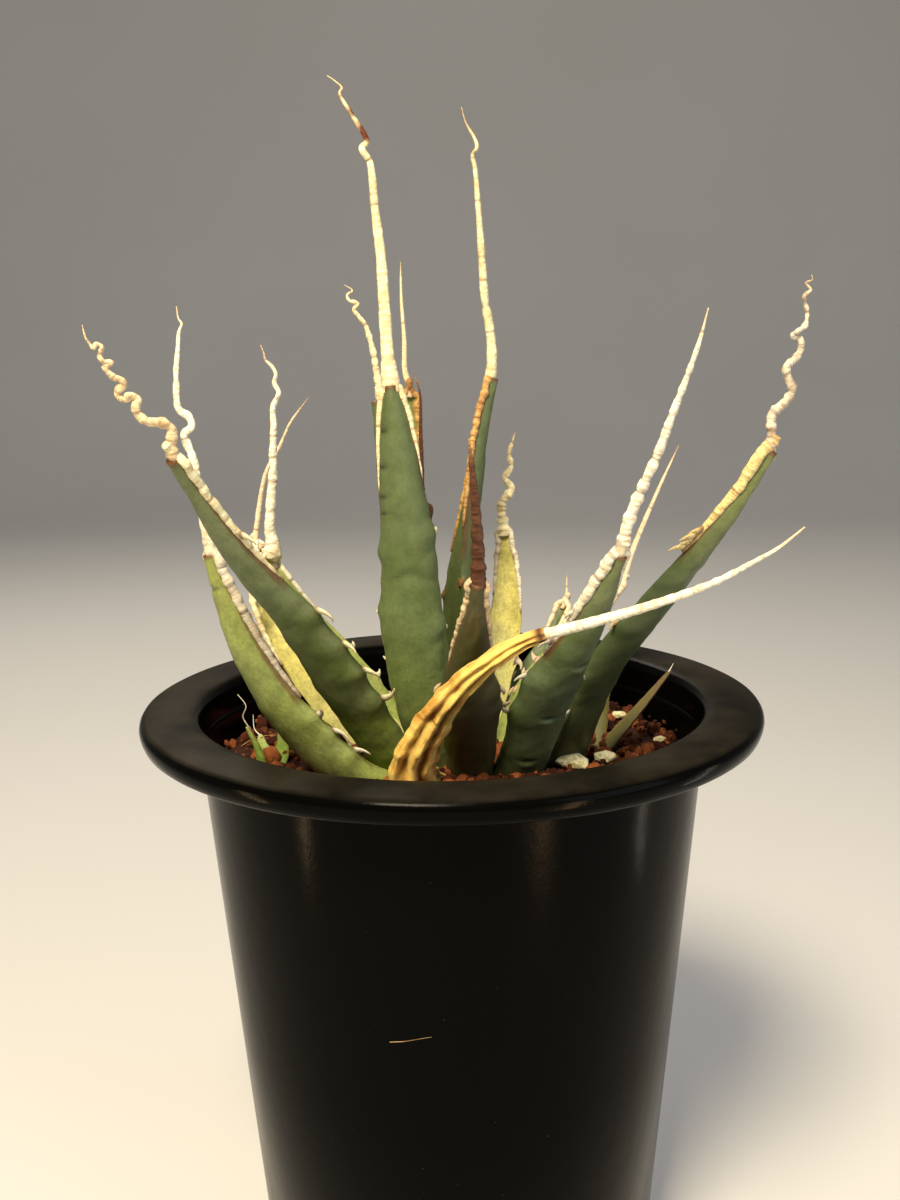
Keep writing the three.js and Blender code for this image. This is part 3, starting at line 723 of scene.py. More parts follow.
@dataclass(frozen=True)
class Leaf:
    """One living leaf with its teeth, margins and horn.

    The blade is widest at full, neck times as wide at its base, and narrows to its tip by the power taper.
    faces are the compass angles of its upper side at base and tip, and sway is how wavy it is. right and
    left place teeth of the height bite along its edges. prints are the chevrons that a neighbour pressed
    into it: place, slope and depth. dents are hollows or slits: place, side from -1 to 1, depth, width
    along, width across, and how dark the painted shade in it is.

    girth is the horn's radius, and shaft its relief. marks are places on it: share of its length, reach,
    how stained it is, and how much it is pinched. reach says how far down each edge the ivory runs, margins
    is the relief there, rim its radius, and edging its own ivory, where it differs from the horn's. frills
    are the curled spurs on it: side, place and height.
    """

    name: str
    line: Line
    horn: Line
    width: float
    thick: float
    faces: Pair
    taper: float
    girth: float
    reach: Pair
    neck: float = 0.85
    full: float = 0.4
    right: tuple[float, ...] = ()
    left: tuple[float, ...] = ()
    skin: LeafSkin = SILVER_GREEN
    ivory: Ivory = CREAM
    shaft: Relief = Relief.WAVY
    margins: tuple[Relief, Relief] = (Relief.SEGMENTED, Relief.SEGMENTED)
    frills: tuple[tuple[int, float, float], ...] = ()
    prints: tuple[tuple[float, float, float], ...] = ()
    dents: tuple[tuple[float, float, float, float, float, float], ...] = ()
    marks: tuple[tuple[float, float, float, float], ...] = ()
    edging: Ivory | None = None
    bite: float = 3.2
    rim: float = 0.82
    sway: float = 0.22

    STEP = 0.5
    SIDES = 48
    HORN_STEP = 0.33
    HORN_SIDES = 16
    MARGIN_SIDES = 12
    TIP_HALF_WIDTH = 1.5
    TIP_THICKNESS = 1.7
    TRACK_STEPS = 400
    ROUGH_STEPS = 200
    TOOTH_ROWS = 18
    TOOTH_SIDES = 10

    @property
    def tooth_places(self) -> list[tuple[int, float]]:
        """Each tooth's side, 1 for right and -1 for left, and its place."""
        return [(1, place) for place in self.right] + [(-1, place) for place in self.left]

    def chance(self, purpose: int) -> Chance:
        """Random draws of this leaf's own for one purpose."""
        return np.random.default_rng(int(self.name) * 100 + purpose)

    def facing(self, share: Array) -> Array:
        """The direction that the upper side faces at shares of the length."""
        angle = np.radians(lerp(self.faces[0], self.faces[1], share))
        return np.stack([np.cos(angle), np.sin(angle), np.zeros_like(angle)], axis=-1)

    def track(self, count: int) -> Track:
        """The blade's middle line from base to tip."""
        points = smooth_line(self.line, count)
        return track_along(points, self.facing(np.linspace(0, 1, count)))

    def half_width(self, share: Array) -> Array:
        """Half the blade's width at shares of its length."""
        full = self.width / 2
        rising = full * lerp(self.neck, 1, smooth_step(share / self.full))
        rest = np.clip((1 - share) / (1 - self.full), 0, 1)
        falling = np.maximum(self.TIP_HALF_WIDTH, full * rest**self.taper)
        return np.where(share < self.full, rising, falling)

    def at(self, share: float) -> tuple[Array, Array, Array, Array]:
        """The point and the directions along, up and across at one share of the length."""
        track = self.track(self.TRACK_STEPS + 1)
        i = int(round(share * self.TRACK_STEPS))
        return track.point[i], track.along[i], track.up[i], track.across[i]

    def blade(self) -> Piece:
        """The green blade: channelled above, keeled below, and dented and wavy all over."""
        length = length_of(smooth_line(self.line, self.ROUGH_STEPS))
        track = self.track(int(length / self.STEP))
        share = track.share[:, None]
        side, upright, bulge = cross_section(self.SIDES)
        chance = self.chance(1)

        half = self.half_width(share)
        for edge, place in self.tooth_places:
            swell = 0.8 * bell((share - place) * length, 2.4)
            half = half + swell * np.clip(edge * side, 0, 1)
        wavy = ripple(share * length, 11, chance) * np.sign(side) * np.abs(side) ** 3
        half = half * (1 + 0.03 * wavy)

        thickness = lerp(self.thick, self.TIP_THICKNESS, share**1.3)
        channel = half * lerp(-0.2, 0.3, np.minimum(1, share * 1.4))
        upper = -channel * bulge**2
        lower = upper - thickness * bulge**0.8
        above = upright > NEARLY_FLAT
        high = np.where(above, upper, lower)

        sway = ripple(share * length, 17, chance) + 0.6 * ripple(share * length + 5 * side, 7, chance)
        high = high + self.sway * 0.5 * sway
        outward = np.where(above, 1.0, -1.0) * bulge
        painted_shade = np.zeros_like(high)
        for place, slope, depth in self.prints:
            distance = (share - place + slope * np.abs(side)) * length
            high = high - outward * depth * bell(distance, 1.2)
        # Each dent is pressed into the skin, and its last number paints shade into its hollow.
        for place, across, depth, span, spread, dark in self.dents:
            near = bell((share - place) * length, span) * bell((side - across) * half, spread)
            high = high - outward * depth * near
            painted_shade = np.maximum(painted_shade, dark * near**2)

        edge = smooth_step((np.abs(side) - 0.93) / 0.04)
        edge = edge * smooth_step((share - min(self.reach) + 0.04) / 0.06)
        edge = np.maximum(edge * 0.75, smooth_step((share - 0.985) / 0.015))
        values = {"along": share, "edge": edge, "painted_shade": painted_shade}
        made = rolled(f"leaf_{self.name}", track.lay(side * half, high), values)
        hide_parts(f"leaf_{self.name}")
        return made

    def tooth(self, side: int, place: float, height: float, curl: float, out: float) -> Piece:
        """A hooked tooth on one edge.

        Args:
            side: 1 for the right edge and -1 for the left one.
            place: Where along the blade it stands.
            height: How far it reaches from the edge.
            curl: How far it turns on its way out, in radians, positive towards the tip.
            out: How far outside the edge it starts.

        Returns:
            The tooth.
        """
        point, along, up, across = self.at(place)
        outward = across * side
        chance = self.chance(int(place * 1000) + 5 * side + 50)
        share = np.linspace(0, 1, self.TOOTH_ROWS)
        angle = curl * share**1.4
        lift = chance.uniform(-0.5, 0.5) * share
        heading = np.cos(angle)[:, None] * outward + np.sin(angle)[:, None] * along + lift[:, None] * up
        step = unit(heading) * (height * 1.25 / self.TOOTH_ROWS)
        start = point + outward * (float(self.half_width(np.array(place))) + out - 0.9)
        line = start + np.cumsum(step, axis=0)
        track = track_along(line, np.repeat(up[None], self.TOOTH_ROWS, axis=0))
        wide = lerp(1.45, 0.14, share**0.62)
        high = lerp(0.68, 0.12, share**0.8)
        crack = np.clip(bell(share - 0.12, 0.1) * 0.9, 0, 1)
        values = {"along": 0.08 + 0.86 * share, "crack": crack}
        return rolled("tooth", rings_round(track, wide, high, self.TOOTH_SIDES), values)

    def teeth(self) -> Piece | None:
        """The teeth along the blade's two edges, below the ivory margins."""
        made = []
        chance = self.chance(2)
        for side, place in self.tooth_places:
            height = self.bite * chance.uniform(0.75, 1.15)
            curl = chance.choice([-1, 1], p=[0.7, 0.3]) * chance.uniform(0.9, 2.2)
            made.append(self.tooth(side, place, height, curl, 0.5))
        if not made:
            return None
        piece = joined(f"teeth_{self.name}", made)
        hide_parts(f"leaf_{self.name}")
        return piece

    def margin(self, side: int, reach: float, kind: Relief) -> Piece:
        """The ivory along one edge, from the horn's root down to a share of the length."""
        top, along, _, _ = self.at(1)
        share = np.linspace(1, reach, 24)
        track = self.track(self.TRACK_STEPS + 1)
        index = np.rint(share * self.TRACK_STEPS).astype(int)
        clear = self.half_width(share) + lerp(0.45 * self.rim, -0.1, (1 - share) / (1 - reach))
        edge = track.point[index] + track.across[index] * (side * clear)[:, None]
        line = np.vstack([top + along * 3.2, top + along * 1.4, edge[1:]])
        line = even_line(line, self.HORN_STEP)
        facing = self.facing(lerp(1, reach, np.linspace(0, 1, len(line))))
        path = track_along(line, facing)
        chance = self.chance(10 + side)
        run = path.run
        crack = grooves(run, kind.spacing, 0.28, chance)
        swell = 1 + kind.knob * ripple(run, kind.wave, chance) - 0.6 * kind.cut * crack
        radius = self.rim * lerp(1.0, 0.3, path.share**2) * swell
        out = (0.3 * kind.knob / 0.2 * ripple(run, 6, chance) * (1 - path.share))[:, None] * side
        rise = (0.2 * ripple(run, 8, chance) * (1 - path.share))[:, None]
        moved = path.point + path.across * out * smooth_step(run / 6)[:, None] + path.up * rise
        path = track_along(moved, facing)
        values = {
            "along": lerp(0.5, 0.12, path.share),
            "crack": np.clip(crack * 0.9, 0, 1),
            "stain": 0.75 * smooth_step((path.share - 0.9) / 0.1),
        }
        return rolled("margin", rings_round(path, radius, radius * 1.15, self.MARGIN_SIDES), values)

    def shaft_piece(self) -> Piece:
        """The horn's own shaft, from inside the blade's tip to its point."""
        tip, along, up, _ = self.at(1)
        first = 0 if self.horn[0][2] > tip[2] + 2.5 else 1
        line = np.vstack([tip - along * 1.5, tip + along * 1.2, np.array(self.horn[first:])])
        path = track_along(even_line(line, self.HORN_STEP, self.ROUGH_STEPS), up)
        chance = self.chance(20)
        run, share = path.run, path.share
        kind = self.shaft
        crack = grooves(run, kind.spacing, 0.25, chance)
        swell = 1 + kind.knob * ripple(run, kind.wave, chance) - kind.cut * crack
        stain = np.zeros_like(run)
        for place, reach, dark, pinch in self.marks:
            near = bell(run - place * run[-1], reach)
            stain = np.maximum(stain, dark * near)
            swell = swell * (1 - pinch * near)
        radius = self.girth * lerp(1, 0.22, share**1.15) * swell
        radius = radius * lerp(1, 0.4, smooth_step((share - 0.86) / 0.14))
        root = 1 + 0.12 * bell(run - 2, 2.5)
        radius = radius * root * np.sqrt(np.clip((1.02 - share) / 0.02, 0, 1))
        turn = np.arange(self.HORN_SIDES) * math.tau / self.HORN_SIDES
        rings = rings_round(path, radius, radius * 0.85, self.HORN_SIDES)
        dimple = ripple(run, 4, chance)[:, None] * np.sin(2 * turn + run[:, None] * 0.25)
        dimple = (1 + 0.9 * kind.knob * dimple)[..., None]
        rings = path.point[:, None] + (rings - path.point[:, None]) * dimple
        patch = np.clip(0.85 + 0.35 * np.cos(turn - 0.3 * run[:, None]), 0, 1)
        stain = np.clip(stain[:, None] * patch, 0, 1)
        values = {"along": share, "crack": np.clip(crack * 0.85, 0, 1), "stain": stain}
        made = rolled(f"horn_{self.name}", rings, values)
        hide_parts(f"horn_{self.name}")
        return made

    def margin_piece(self) -> Piece:
        """The two ivory margins with their curled spurs."""
        sides = zip((1, -1), self.reach, self.margins)
        made = [self.margin(side, reach, kind) for side, reach, kind in sides]
        chance = self.chance(30)
        for side, place, height in self.frills:
            made.append(self.tooth(side, place, height, -chance.uniform(1.2, 2.2), 1.2))
        piece = joined(f"margins_{self.name}", made)
        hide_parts(f"horn_{self.name}")
        return piece

    def build(self) -> None:
        """Makes and dresses the blade, its teeth and its horn."""
        dress(self.blade(), self.skin.make(f"leaf_skin_{self.name}"))
        ivory = self.ivory.make(f"ivory_{self.name}")
        edging = self.edging.make(f"edging_{self.name}") if self.edging else ivory
        teeth = self.teeth()
        if teeth:
            dress(teeth, edging)
        dress(self.margin_piece(), edging)
        dress(self.shaft_piece(), ivory)


LEAVES = (
    Leaf(
        "18", width=6, thick=5, faces=(90, 90), neck=1, full=0.2, taper=0.7, girth=0.75, reach=(0.9, 0.9),
        line=((2, -5, 139), (-1, -5, 153), (-4, -5, 173), (-5.5, -5, 187.5), (-6, -5, 197.5)),
        horn=((-6, -5, 204), (-6, -5, 215.5), (-6, -5, 224), (-7.5, -5, 229)), skin=YELLOW_GREEN,
        ivory=RUST, shaft=Relief.SEGMENTED, sway=0.1,
    ),
    Leaf(
        "09", width=13, thick=4.5, faces=(222, 165), taper=0.6, girth=1.5, reach=(0.6, 0.52),
        line=(
            (6, -2, 139), (2, 3, 151), (0.5, 5, 168), (1.5, 6, 183), (4, 7, 198), (7, 8, 214.5),
            (10.5, 9, 227),
        ),
        horn=(
            (11, 9, 233.5), (10.5, 9, 239), (9.5, 8.5, 245), (9, 8, 252.5), (8.5, 8, 261), (8, 8, 268.5),
            (7.5, 7.5, 275), (7, 7, 278), (8, 6.5, 279.5), (7.5, 7, 281.5), (5.5, 7, 285), (4.5, 7, 288.5),
        ),
        right=(0.45, 0.3), left=(0.4, 0.25), skin=DEEP_GREEN, edging=BURNT, shaft=Relief.SMOOTH,
        margins=(Relief.KNOBBLY, Relief.WAVY),
        marks=((0.285, 0.8, 0.45, 0.22), (0.6, 3, 0.25, 0), (0.83, 0.6, 0.5, 0.15), (0.95, 3, 0.5, 0)),
    ),
    Leaf(
        "05", width=14, thick=5.5, faces=(95, 88), neck=0.8, full=0.42, taper=0.42, girth=1.5,
        reach=(0.74, 0.77),
        line=(
            (-3, -13, 138.5), (-6, -19, 152), (-8, -22.5, 169.5), (-8.5, -24.5, 188), (-10, -26, 208.5),
            (-11.5, -26.5, 226.5),
        ),
        horn=(
            (-12, -26.5, 233), (-12.5, -26, 244), (-13, -25, 253.5), (-14, -24, 263), (-14.5, -23.5, 270),
            (-15, -23, 273), (-16.5, -23.5, 275.5), (-15.5, -22, 277), (-16, -22, 278.5),
            (-18.5, -22, 282.5), (-21, -21.5, 287), (-20.5, -21, 288), (-22, -21, 289.5),
            (-23.5, -21, 290.5),
        ),
        right=(0.6, 0.45), left=(0.64, 0.4), bite=1.4, skin=DEEP_GREEN, shaft=Relief.SMOOTH,
        margins=(Relief.SMOOTH, Relief.SEGMENTED), prints=((0.551, 0.03, 0.35), (0.8, 0.04, 0.15)),
        dents=(
            (0.895, 0.8, 0.6, 0.7, 1.2, 1), (0.81, 0.86, 0.7, 0.7, 1.4, 1), (0.74, 0.86, 0.7, 0.6, 1.4, 1),
            (0.7, 0.86, 0.6, 0.5, 1.2, 1), (0.35, 0.2, 0.3, 4, 2, 0.1), (0.45, -0.4, 0.25, 3, 1.5, 0.05),
        ),
        marks=(
            (0.03, 3.5, 0, -0.3), (0.58, 3, 0.4, 0), (0.69, 0.35, 0.8, 0.12), (0.79, 2.3, 1.4, 0),
            (0.86, 1.6, 1.4, 0.1), (0.93, 2.5, 0.5, 0),
        ),
    ),
    Leaf(
        "06", width=11.5, thick=4, faces=(15, 20), neck=0.9, full=0.35, taper=0.5, girth=1.1,
        reach=(0.7, 0.7),
        line=((-3, -6, 139.5), (-9, -5, 154), (-11, -5, 175.5), (-12.5, -6, 199.5), (-15, -7, 222.5)),
        horn=(
            (-15.5, -7, 227), (-16, -7, 231), (-16.5, -7, 234), (-17.5, -7, 238), (-18, -7, 239.5),
            (-19.5, -7, 241.5), (-20.5, -7, 243), (-19.5, -7.5, 244.3), (-21.5, -7, 245),
            (-22, -6.5, 246.3), (-20.7, -7, 247.2), (-22.5, -7, 248.5),
        ),
        right=(0.5,), left=(0.56, 0.4), skin=DEEP_GREEN, shaft=Relief.KNOBBLY,
    ),
    Leaf(
        "07", width=10, thick=4, faces=(285, 280), taper=0.45, girth=0.8, reach=(0.62, 0.68),
        line=(
            (1, 4, 139), (-5, 10, 147), (-9, 15, 163.5), (-10.5, 19, 186.5), (-10, 21, 206.5),
            (-9.5, 21, 223.5),
        ),
        horn=((-10.5, 21, 228.5), (-10.5, 21, 236), (-11, 21, 246), (-11, 21, 255)), right=(0.5, 0.3),
        left=(0.55, 0.4), skin=YELLOW_GREEN, edging=BURNT, shaft=Relief.SMOOTH,
        margins=(Relief.KNOBBLY, Relief.KNOBBLY),
    ),
    Leaf(
        "10", width=13, thick=5.5, faces=(88, 88), full=0.45, taper=0.75, girth=1.6, reach=(0.62, 0.6),
        line=(
            (4.5, -16, 134), (4.5, -21, 142), (4.5, -30, 154), (5, -40, 170), (6, -47, 181),
            (6.5, -51, 188),
        ),
        horn=((6.5, -55, 196), (6, -60, 206.5), (5, -65, 217.5)), right=(0.52, 0.42), left=(0.52, 0.44),
        skin=SHADED_OLIVE, ivory=RUST, edging=TAN, shaft=Relief.SEGMENTED,
        margins=(Relief.KNOBBLY, Relief.KNOBBLY),
    ),
    Leaf(
        "11", width=8.5, thick=3.5, faces=(250, 250), neck=0.75, full=0.6, taper=0.5, girth=1.45,
        reach=(0.62, 0.7),
        line=(
            (6, 3, 138.5), (9.5, 8, 144), (12, 14, 153), (14, 19, 165), (14.5, 22, 177.5), (14, 24, 187.5),
        ),
        horn=(
            (13.5, 24, 191.5), (13.5, 24, 194.5), (16, 24, 198.5), (14.3, 24, 201), (16, 24, 204),
            (15.5, 24, 207), (17, 24, 212.5),
        ),
        right=(0.4,), left=(0.5, 0.35), skin=PALE_YELLOW, edging=BRITTLE, shaft=Relief.KNOBBLY,
        margins=(Relief.KNOBBLY, Relief.KNOBBLY),
    ),
    Leaf(
        "17", width=12, thick=5, faces=(276, 282), taper=0.55, girth=1.2, reach=(0.7, 0.66),
        line=((0, 7, 134.5), (-6, 18, 143), (-11, 31, 155), (-13.5, 41, 168), (-14.5, 47, 179)),
        horn=((-15, 50, 184.5), (-16, 53, 191), (-16, 55, 198)), right=(0.5, 0.3), left=(0.5, 0.32),
        skin=YELLOW_GREEN,
    ),
    Leaf(
        "16", width=10, thick=4.5, faces=(235, 235), taper=0.8, girth=0.6, reach=(0.75, 0.75),
        line=((9, 4, 134.5), (14, 12, 141), (20.5, 20, 150.5), (26.5, 27, 160), (30, 31, 166.5)),
        horn=((30.5, 32, 169), (31, 33.5, 174)), right=(0.5, 0.3), left=(0.5, 0.34), skin=DEEP_GREEN,
        ivory=ROSE,
    ),
    Leaf(
        "15", width=11, thick=4.5, faces=(218, 213), taper=0.55, girth=0.95, reach=(0.75, 0.7),
        line=((10, -3, 134), (14, 1, 141), (20, 5, 149.5), (30, 10, 161.5), (43, 16, 174.5)),
        horn=((46, 17, 182), (49.5, 18, 190.5), (53.5, 19, 199.5), (58, 20, 209)), right=(0.55, 0.35),
        left=(0.5, 0.42, 0.34), skin=YELLOW_GREEN, ivory=ROSE, shaft=Relief.SMOOTH,
    ),
    Leaf(
        "03", width=12, thick=4.5, faces=(300, 320), full=0.45, taper=0.45, girth=1.6, reach=(0.55, 0.6),
        line=(
            (-6, -3, 134), (-20, 0, 142), (-34, 4, 155), (-44.5, 8, 169.5), (-47, 10, 178),
            (-44.5, 11, 184.5),
        ),
        horn=(
            (-44.5, 11, 190.5), (-43.8, 11, 199), (-43, 11, 206), (-43, 11, 209), (-42.5, 11, 215.5),
            (-42.5, 11.5, 220.5), (-41, 11.5, 224), (-42, 12, 226.3), (-41.5, 11.5, 228.5),
            (-42.5, 11.5, 230.5), (-44, 12, 232), (-44.3, 12, 233.5), (-45, 12, 235.5),
        ),
        right=(0.45, 0.3), left=(0.4, 0.25), skin=PALE_YELLOW, ivory=CHALK, edging=CREAM, rim=1.0,
        margins=(Relief.KNOBBLY, Relief.KNOBBLY),
        frills=((1, 0.985, 3.4), (-1, 0.98, 3.4), (1, 0.95, 3), (-1, 0.94, 2.6)),
        dents=(
            (0.74, -0.3, 1.2, 2.2, 2, 0.6), (0.81, -0.3, -0.8, 1.6, 1.2, 0), (0.65, 0, -0.7, 1.8, 1.5, 0),
        ),
        marks=((0.03, 1.4, 0, -0.55), (0.085, 1.1, 0.1, -0.3), (0.95, 3, 0.4, 0)),
    ),
    Leaf(
        "04", width=12.5, thick=4.5, faces=(325, 325), full=0.42, taper=0.5, girth=0.95, reach=(0.66, 0.7),
        line=((-6, 4, 134.5), (-17, 11, 143.5), (-30, 19, 157), (-42, 25, 171), (-50.5, 29, 184)),
        horn=(
            (-50.5, 30, 190.5), (-49, 30, 198.5), (-47.5, 30, 203.5), (-44, 30, 209.5), (-41, 30, 215.5),
            (-36, 30, 222),
        ),
        right=(0.5, 0.36), left=(0.55, 0.34), skin=YELLOW_GREEN, ivory=ROSE, edging=CHALK,
        shaft=Relief.SMOOTH,
    ),
    Leaf(
        "13", width=14, thick=6, faces=(112, 124), full=0.45, taper=0.62, girth=1.5, reach=(0.6, 0.7),
        line=(
            (13, -14, 132.5), (16.5, -19, 141), (20.5, -27, 156.5), (26, -34, 169.5), (30.5, -40, 179.5),
            (35.5, -46, 192.5),
        ),
        horn=(
            (37, -47, 198.5), (39.5, -48, 205.5), (42.5, -49, 212.5), (45, -50, 220), (48, -51, 228.5),
            (50, -52, 235), (51.5, -52, 241),
        ),
        right=(0.5, 0.36), left=(0.5, 0.3), skin=GREY_GREEN, ivory=CHALK, edging=CHALK, rim=1.15,
        shaft=Relief.SEGMENTED, frills=((1, 0.66, 3.2), (1, 0.78, 2)),
        dents=(
            (0.608, -0.3, 0.9, 0.5, 1.5, 1), (0.59, -0.3, -0.35, 1.1, 1.8, 0),
            (0.38, -0.05, 0.9, 0.5, 1.5, 1), (0.362, -0.05, -0.35, 1.1, 1.8, 0),
            (0.19, 0.24, 0.9, 0.5, 1.5, 1), (0.172, 0.24, -0.35, 1.1, 1.8, 0),
        ),
        marks=((0.34, 0.6, 0.5, 0.2), (0.06, 1.0, 0.5, 0), (0.75, 0.4, 0.5, 0.1)),
    ),
    Leaf(
        "14", width=12, thick=5, faces=(128, 142), neck=0.95, full=0.38, taper=0.75, girth=1.3,
        reach=(0.72, 0.78),
        line=(
            (20, -9, 132.5), (27, -12, 141), (31, -15, 153), (36, -20, 165), (45, -26, 178.5),
            (54.5, -31, 192), (62.5, -34, 203.5), (67.5, -36, 212.5),
        ),
        horn=(
            (68, -36.5, 216), (68, -36.5, 219.5), (70.5, -36.5, 222), (72, -36.5, 224.5),
            (70.7, -37, 227.5), (70.5, -37.5, 229.5), (72.5, -36.5, 231), (73.5, -36.5, 233),
            (73, -37, 235), (71.5, -37.5, 235.5), (72.5, -38, 236.5), (74, -37, 237.5), (74.5, -36.5, 240),
            (73.7, -37, 242.5), (73.5, -38, 243.5), (74.8, -37.5, 244.5), (74.5, -36.5, 245.3),
            (73.9, -36.7, 246), (75.2, -37, 246.6), (75, -37, 247.5),
        ),
        right=(0.5, 0.34), left=(0.6, 0.46, 0.32, 0.24), skin=SHADED_FOOT_GREEN, ivory=BRITTLE, edging=GOLD,
        rim=1.15, shaft=Relief.KNOBBLY, margins=(Relief.WAVY, Relief.KNOBBLY),
        frills=((1, 0.73, 4), (1, 0.76, 3.6), (1, 0.745, 3.2), (1, 0.75, 2.4), (1, 0.775, 2.6)),
        dents=(
            (0.62, 0.8, 0.6, 2, 1.5, 0.3), (0.686, -0.17, 0.6, 2, 1.5, 0.35),
            (0.895, -0.4, 0.4, 1.5, 1, 0.4),
        ),
        marks=(
            (0.03, 2, 0.6, 0), (0.12, 0.7, 0.6, 0.2), (0.2, 0.5, 0.5, 0.1), (0.36, 3, 0.5, 0),
            (0.5, 1, 0.4, 0),
        ),
    ),
    Leaf(
        "01", width=14, thick=6, faces=(60, 52), neck=0.9, taper=0.75, girth=1.2, reach=(0.7, 0.66),
        line=((-9, -13, 133), (-20, -26, 155.5), (-31, -40, 179), (-41, -53, 196), (-49.5, -68, 215.5)),
        horn=(
            (-49.5, -69.5, 218), (-49.5, -69.5, 220.5), (-50.5, -70, 221.5), (-52, -70, 221.8),
            (-53.5, -70.5, 222), (-55, -70.5, 223), (-55.5, -71, 224.5), (-55, -71, 226),
            (-56, -71.5, 226.7), (-57.5, -71.5, 226.2), (-58.5, -71.5, 227), (-58, -72, 228),
            (-57, -72, 228.8), (-57.5, -72.5, 229.7), (-58.5, -72.5, 230), (-59.5, -73, 231),
            (-60, -73, 232), (-58.7, -73, 232.7), (-60.2, -73.5, 233), (-60.7, -73.5, 234),
            (-60, -74, 235.5), (-61, -74, 236), (-61.5, -74.5, 235.2), (-62, -74.5, 236), (-62.5, -75, 237),
            (-63, -75, 239.3),
        ),
        right=(0.5, 0.35), left=(0.56, 0.46, 0.38, 0.29), bite=4.4, ivory=TAN, edging=CREAM,
        shaft=Relief.KNOBBLY, frills=((-1, 0.8, 3.4),),
    ),
    Leaf(
        "02", width=13.5, thick=6, faces=(50, 42), neck=0.9, full=0.45, taper=0.6, girth=1.4,
        reach=(0.7, 0.5),
        line=(
            (-13, -20, 133), (-23, -25, 140.5), (-33, -29, 152.5), (-41, -33, 167), (-46.5, -36, 181.5),
            (-49.5, -38, 192.5),
        ),
        horn=(
            (-50.5, -38.5, 198.5), (-51.5, -38.5, 206), (-52.5, -38.5, 213), (-53.5, -38, 215.5),
            (-54, -38, 217.5), (-52.5, -37.5, 219), (-53, -37, 221), (-55, -37, 222.5), (-55.5, -36.5, 225),
            (-55.5, -36, 227.5), (-55.5, -35.5, 230.5), (-55, -35.5, 234), (-54.5, -35, 238.5),
            (-54, -34.5, 240), (-54.6, -34.5, 241), (-55, -34, 243.5),
        ),
        right=(0.5, 0.35), left=(0.42, 0.34, 0.24), bite=4, skin=YELLOW_GREEN, ivory=CHALK, edging=BRITTLE,
        rim=1.05, dents=((0.9, 0, 0.6, 0.6, 3, 0.4),),
    ),
)


@dataclass(frozen=True)
class DriedLeaf:
    """The dead leaf that arches over the front of the rosette, folded lengthways and wrinkled."""

    line: Line = (
        (-6, -23, 133), (-8.5, -30, 141), (-3, -38.5, 155.5), (5, -46.5, 167), (14.5, -52, 175),
        (20, -53.5, 177.5),
    )
    horn: Line = (
        (26, -54, 179), (39, -56, 183), (52.5, -57, 188), (60, -57.5, 192), (65, -58, 195), (70, -58, 199),
    )
    faces: Pair = (96, 110)
    width: float = 13.5
    thick: float = 1.2
    edge: float = 0.4
    fold: float = 0.42
    tip_share: float = 0.2
    girth: float = 1.3
    step: float = 0.4
    sides: int = 56
    seed: int = 12

    def blade(self) -> Piece:
        """The folded skin, with painted shade in its folds and a dark joint where its spine starts."""
        line = even_line(self.line, self.step, Leaf.ROUGH_STEPS)
        angle = np.radians(np.linspace(self.faces[0], self.faces[1], len(line)))
        facing = np.stack([np.cos(angle), np.sin(angle), np.zeros_like(angle)], axis=1)
        track = track_along(line, facing)
        chance = np.random.default_rng(self.seed)
        share, run = track.share[:, None], track.run[:, None]
        side, upright, bulge = cross_section(self.sides)
        outward = np.sign(upright)
        half = self.width / 2 * lerp(1, self.tip_share, share**0.8) * (1 + 0.07 * ripple(run, 9, chance))
        fold = half * self.fold * (1 - np.abs(side) ** 1.5)
        pleats = 0.75 * np.cos(2.9 * math.pi * side + 0.04 * run + 1.4) * (0.35 + bulge)
        puckers = 0.6 * ripple(run + 5 * side, 15, chance) + 0.16 * ripple(run - 9 * side, 6, chance)
        thickness = self.edge + lerp(self.thick, 1.0, share) * bulge
        offset = outward * thickness / 2 * (bulge > 0.02)
        high = offset - fold + (pleats + puckers) * lerp(1, 0.45, share)
        # Painted shade: the valleys of the pleats darken, more towards the left edge and along a slanted
        # band near the middle; joint darkens where the spine starts.
        low = np.clip(-outward * (pleats + 0.5 * puckers) / 0.9, 0, 1) ** 1.2
        low = low * lerp(0.3, 0.9, smooth_step((0.35 - side) / 0.8))
        low = np.maximum(low, 0.7 * bell(run - 0.47 * run[-1] + 2 * side, 0.4) * (side > -0.2))
        joint = bell(run - run[-1] + 1.0, 1.2)
        values = {"painted_shade": np.clip(np.maximum(low * 0.95, joint), 0, 1)}
        made = rolled("leaf_12", track.lay(side * half, high), values)
        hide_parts("leaf_12")
        return made

    def horn_piece(self) -> Piece:
        """Its long spine, which points to the right."""
        tip = np.array(self.line[-1])
        line = np.vstack([tip - [2, -0.7, 0.7], np.array(self.horn)])
        track = track_along(even_line(line, Leaf.HORN_STEP, 100), np.array([0.0, 0, 1]))
        chance = np.random.default_rng(self.seed + 100)
        run, share = track.run, track.share
        crack = grooves(run, 3.4, 0.25, chance)
        rough = 0.06 + 0.16 * bell(share - 0.66, 0.12)
        swell = 1 + rough * ripple(run, 3.2, chance) - 0.05 * crack
        radius = self.girth * lerp(1, 0.14, share**1.7) * swell
        values = {"along": share, "crack": np.clip(crack * 0.3, 0, 1)}
        made = rolled("horn_12", rings_round(track, radius, radius * 0.9, Leaf.HORN_SIDES), values)
        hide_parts("horn_12")
        return made

    def build(self) -> None:
        """Makes and dresses the dead leaf and its spine."""
        dress(self.blade(), DriedSkin().make("dried_skin"))
        dress(self.horn_piece(), CHALK.make("ivory_12"))


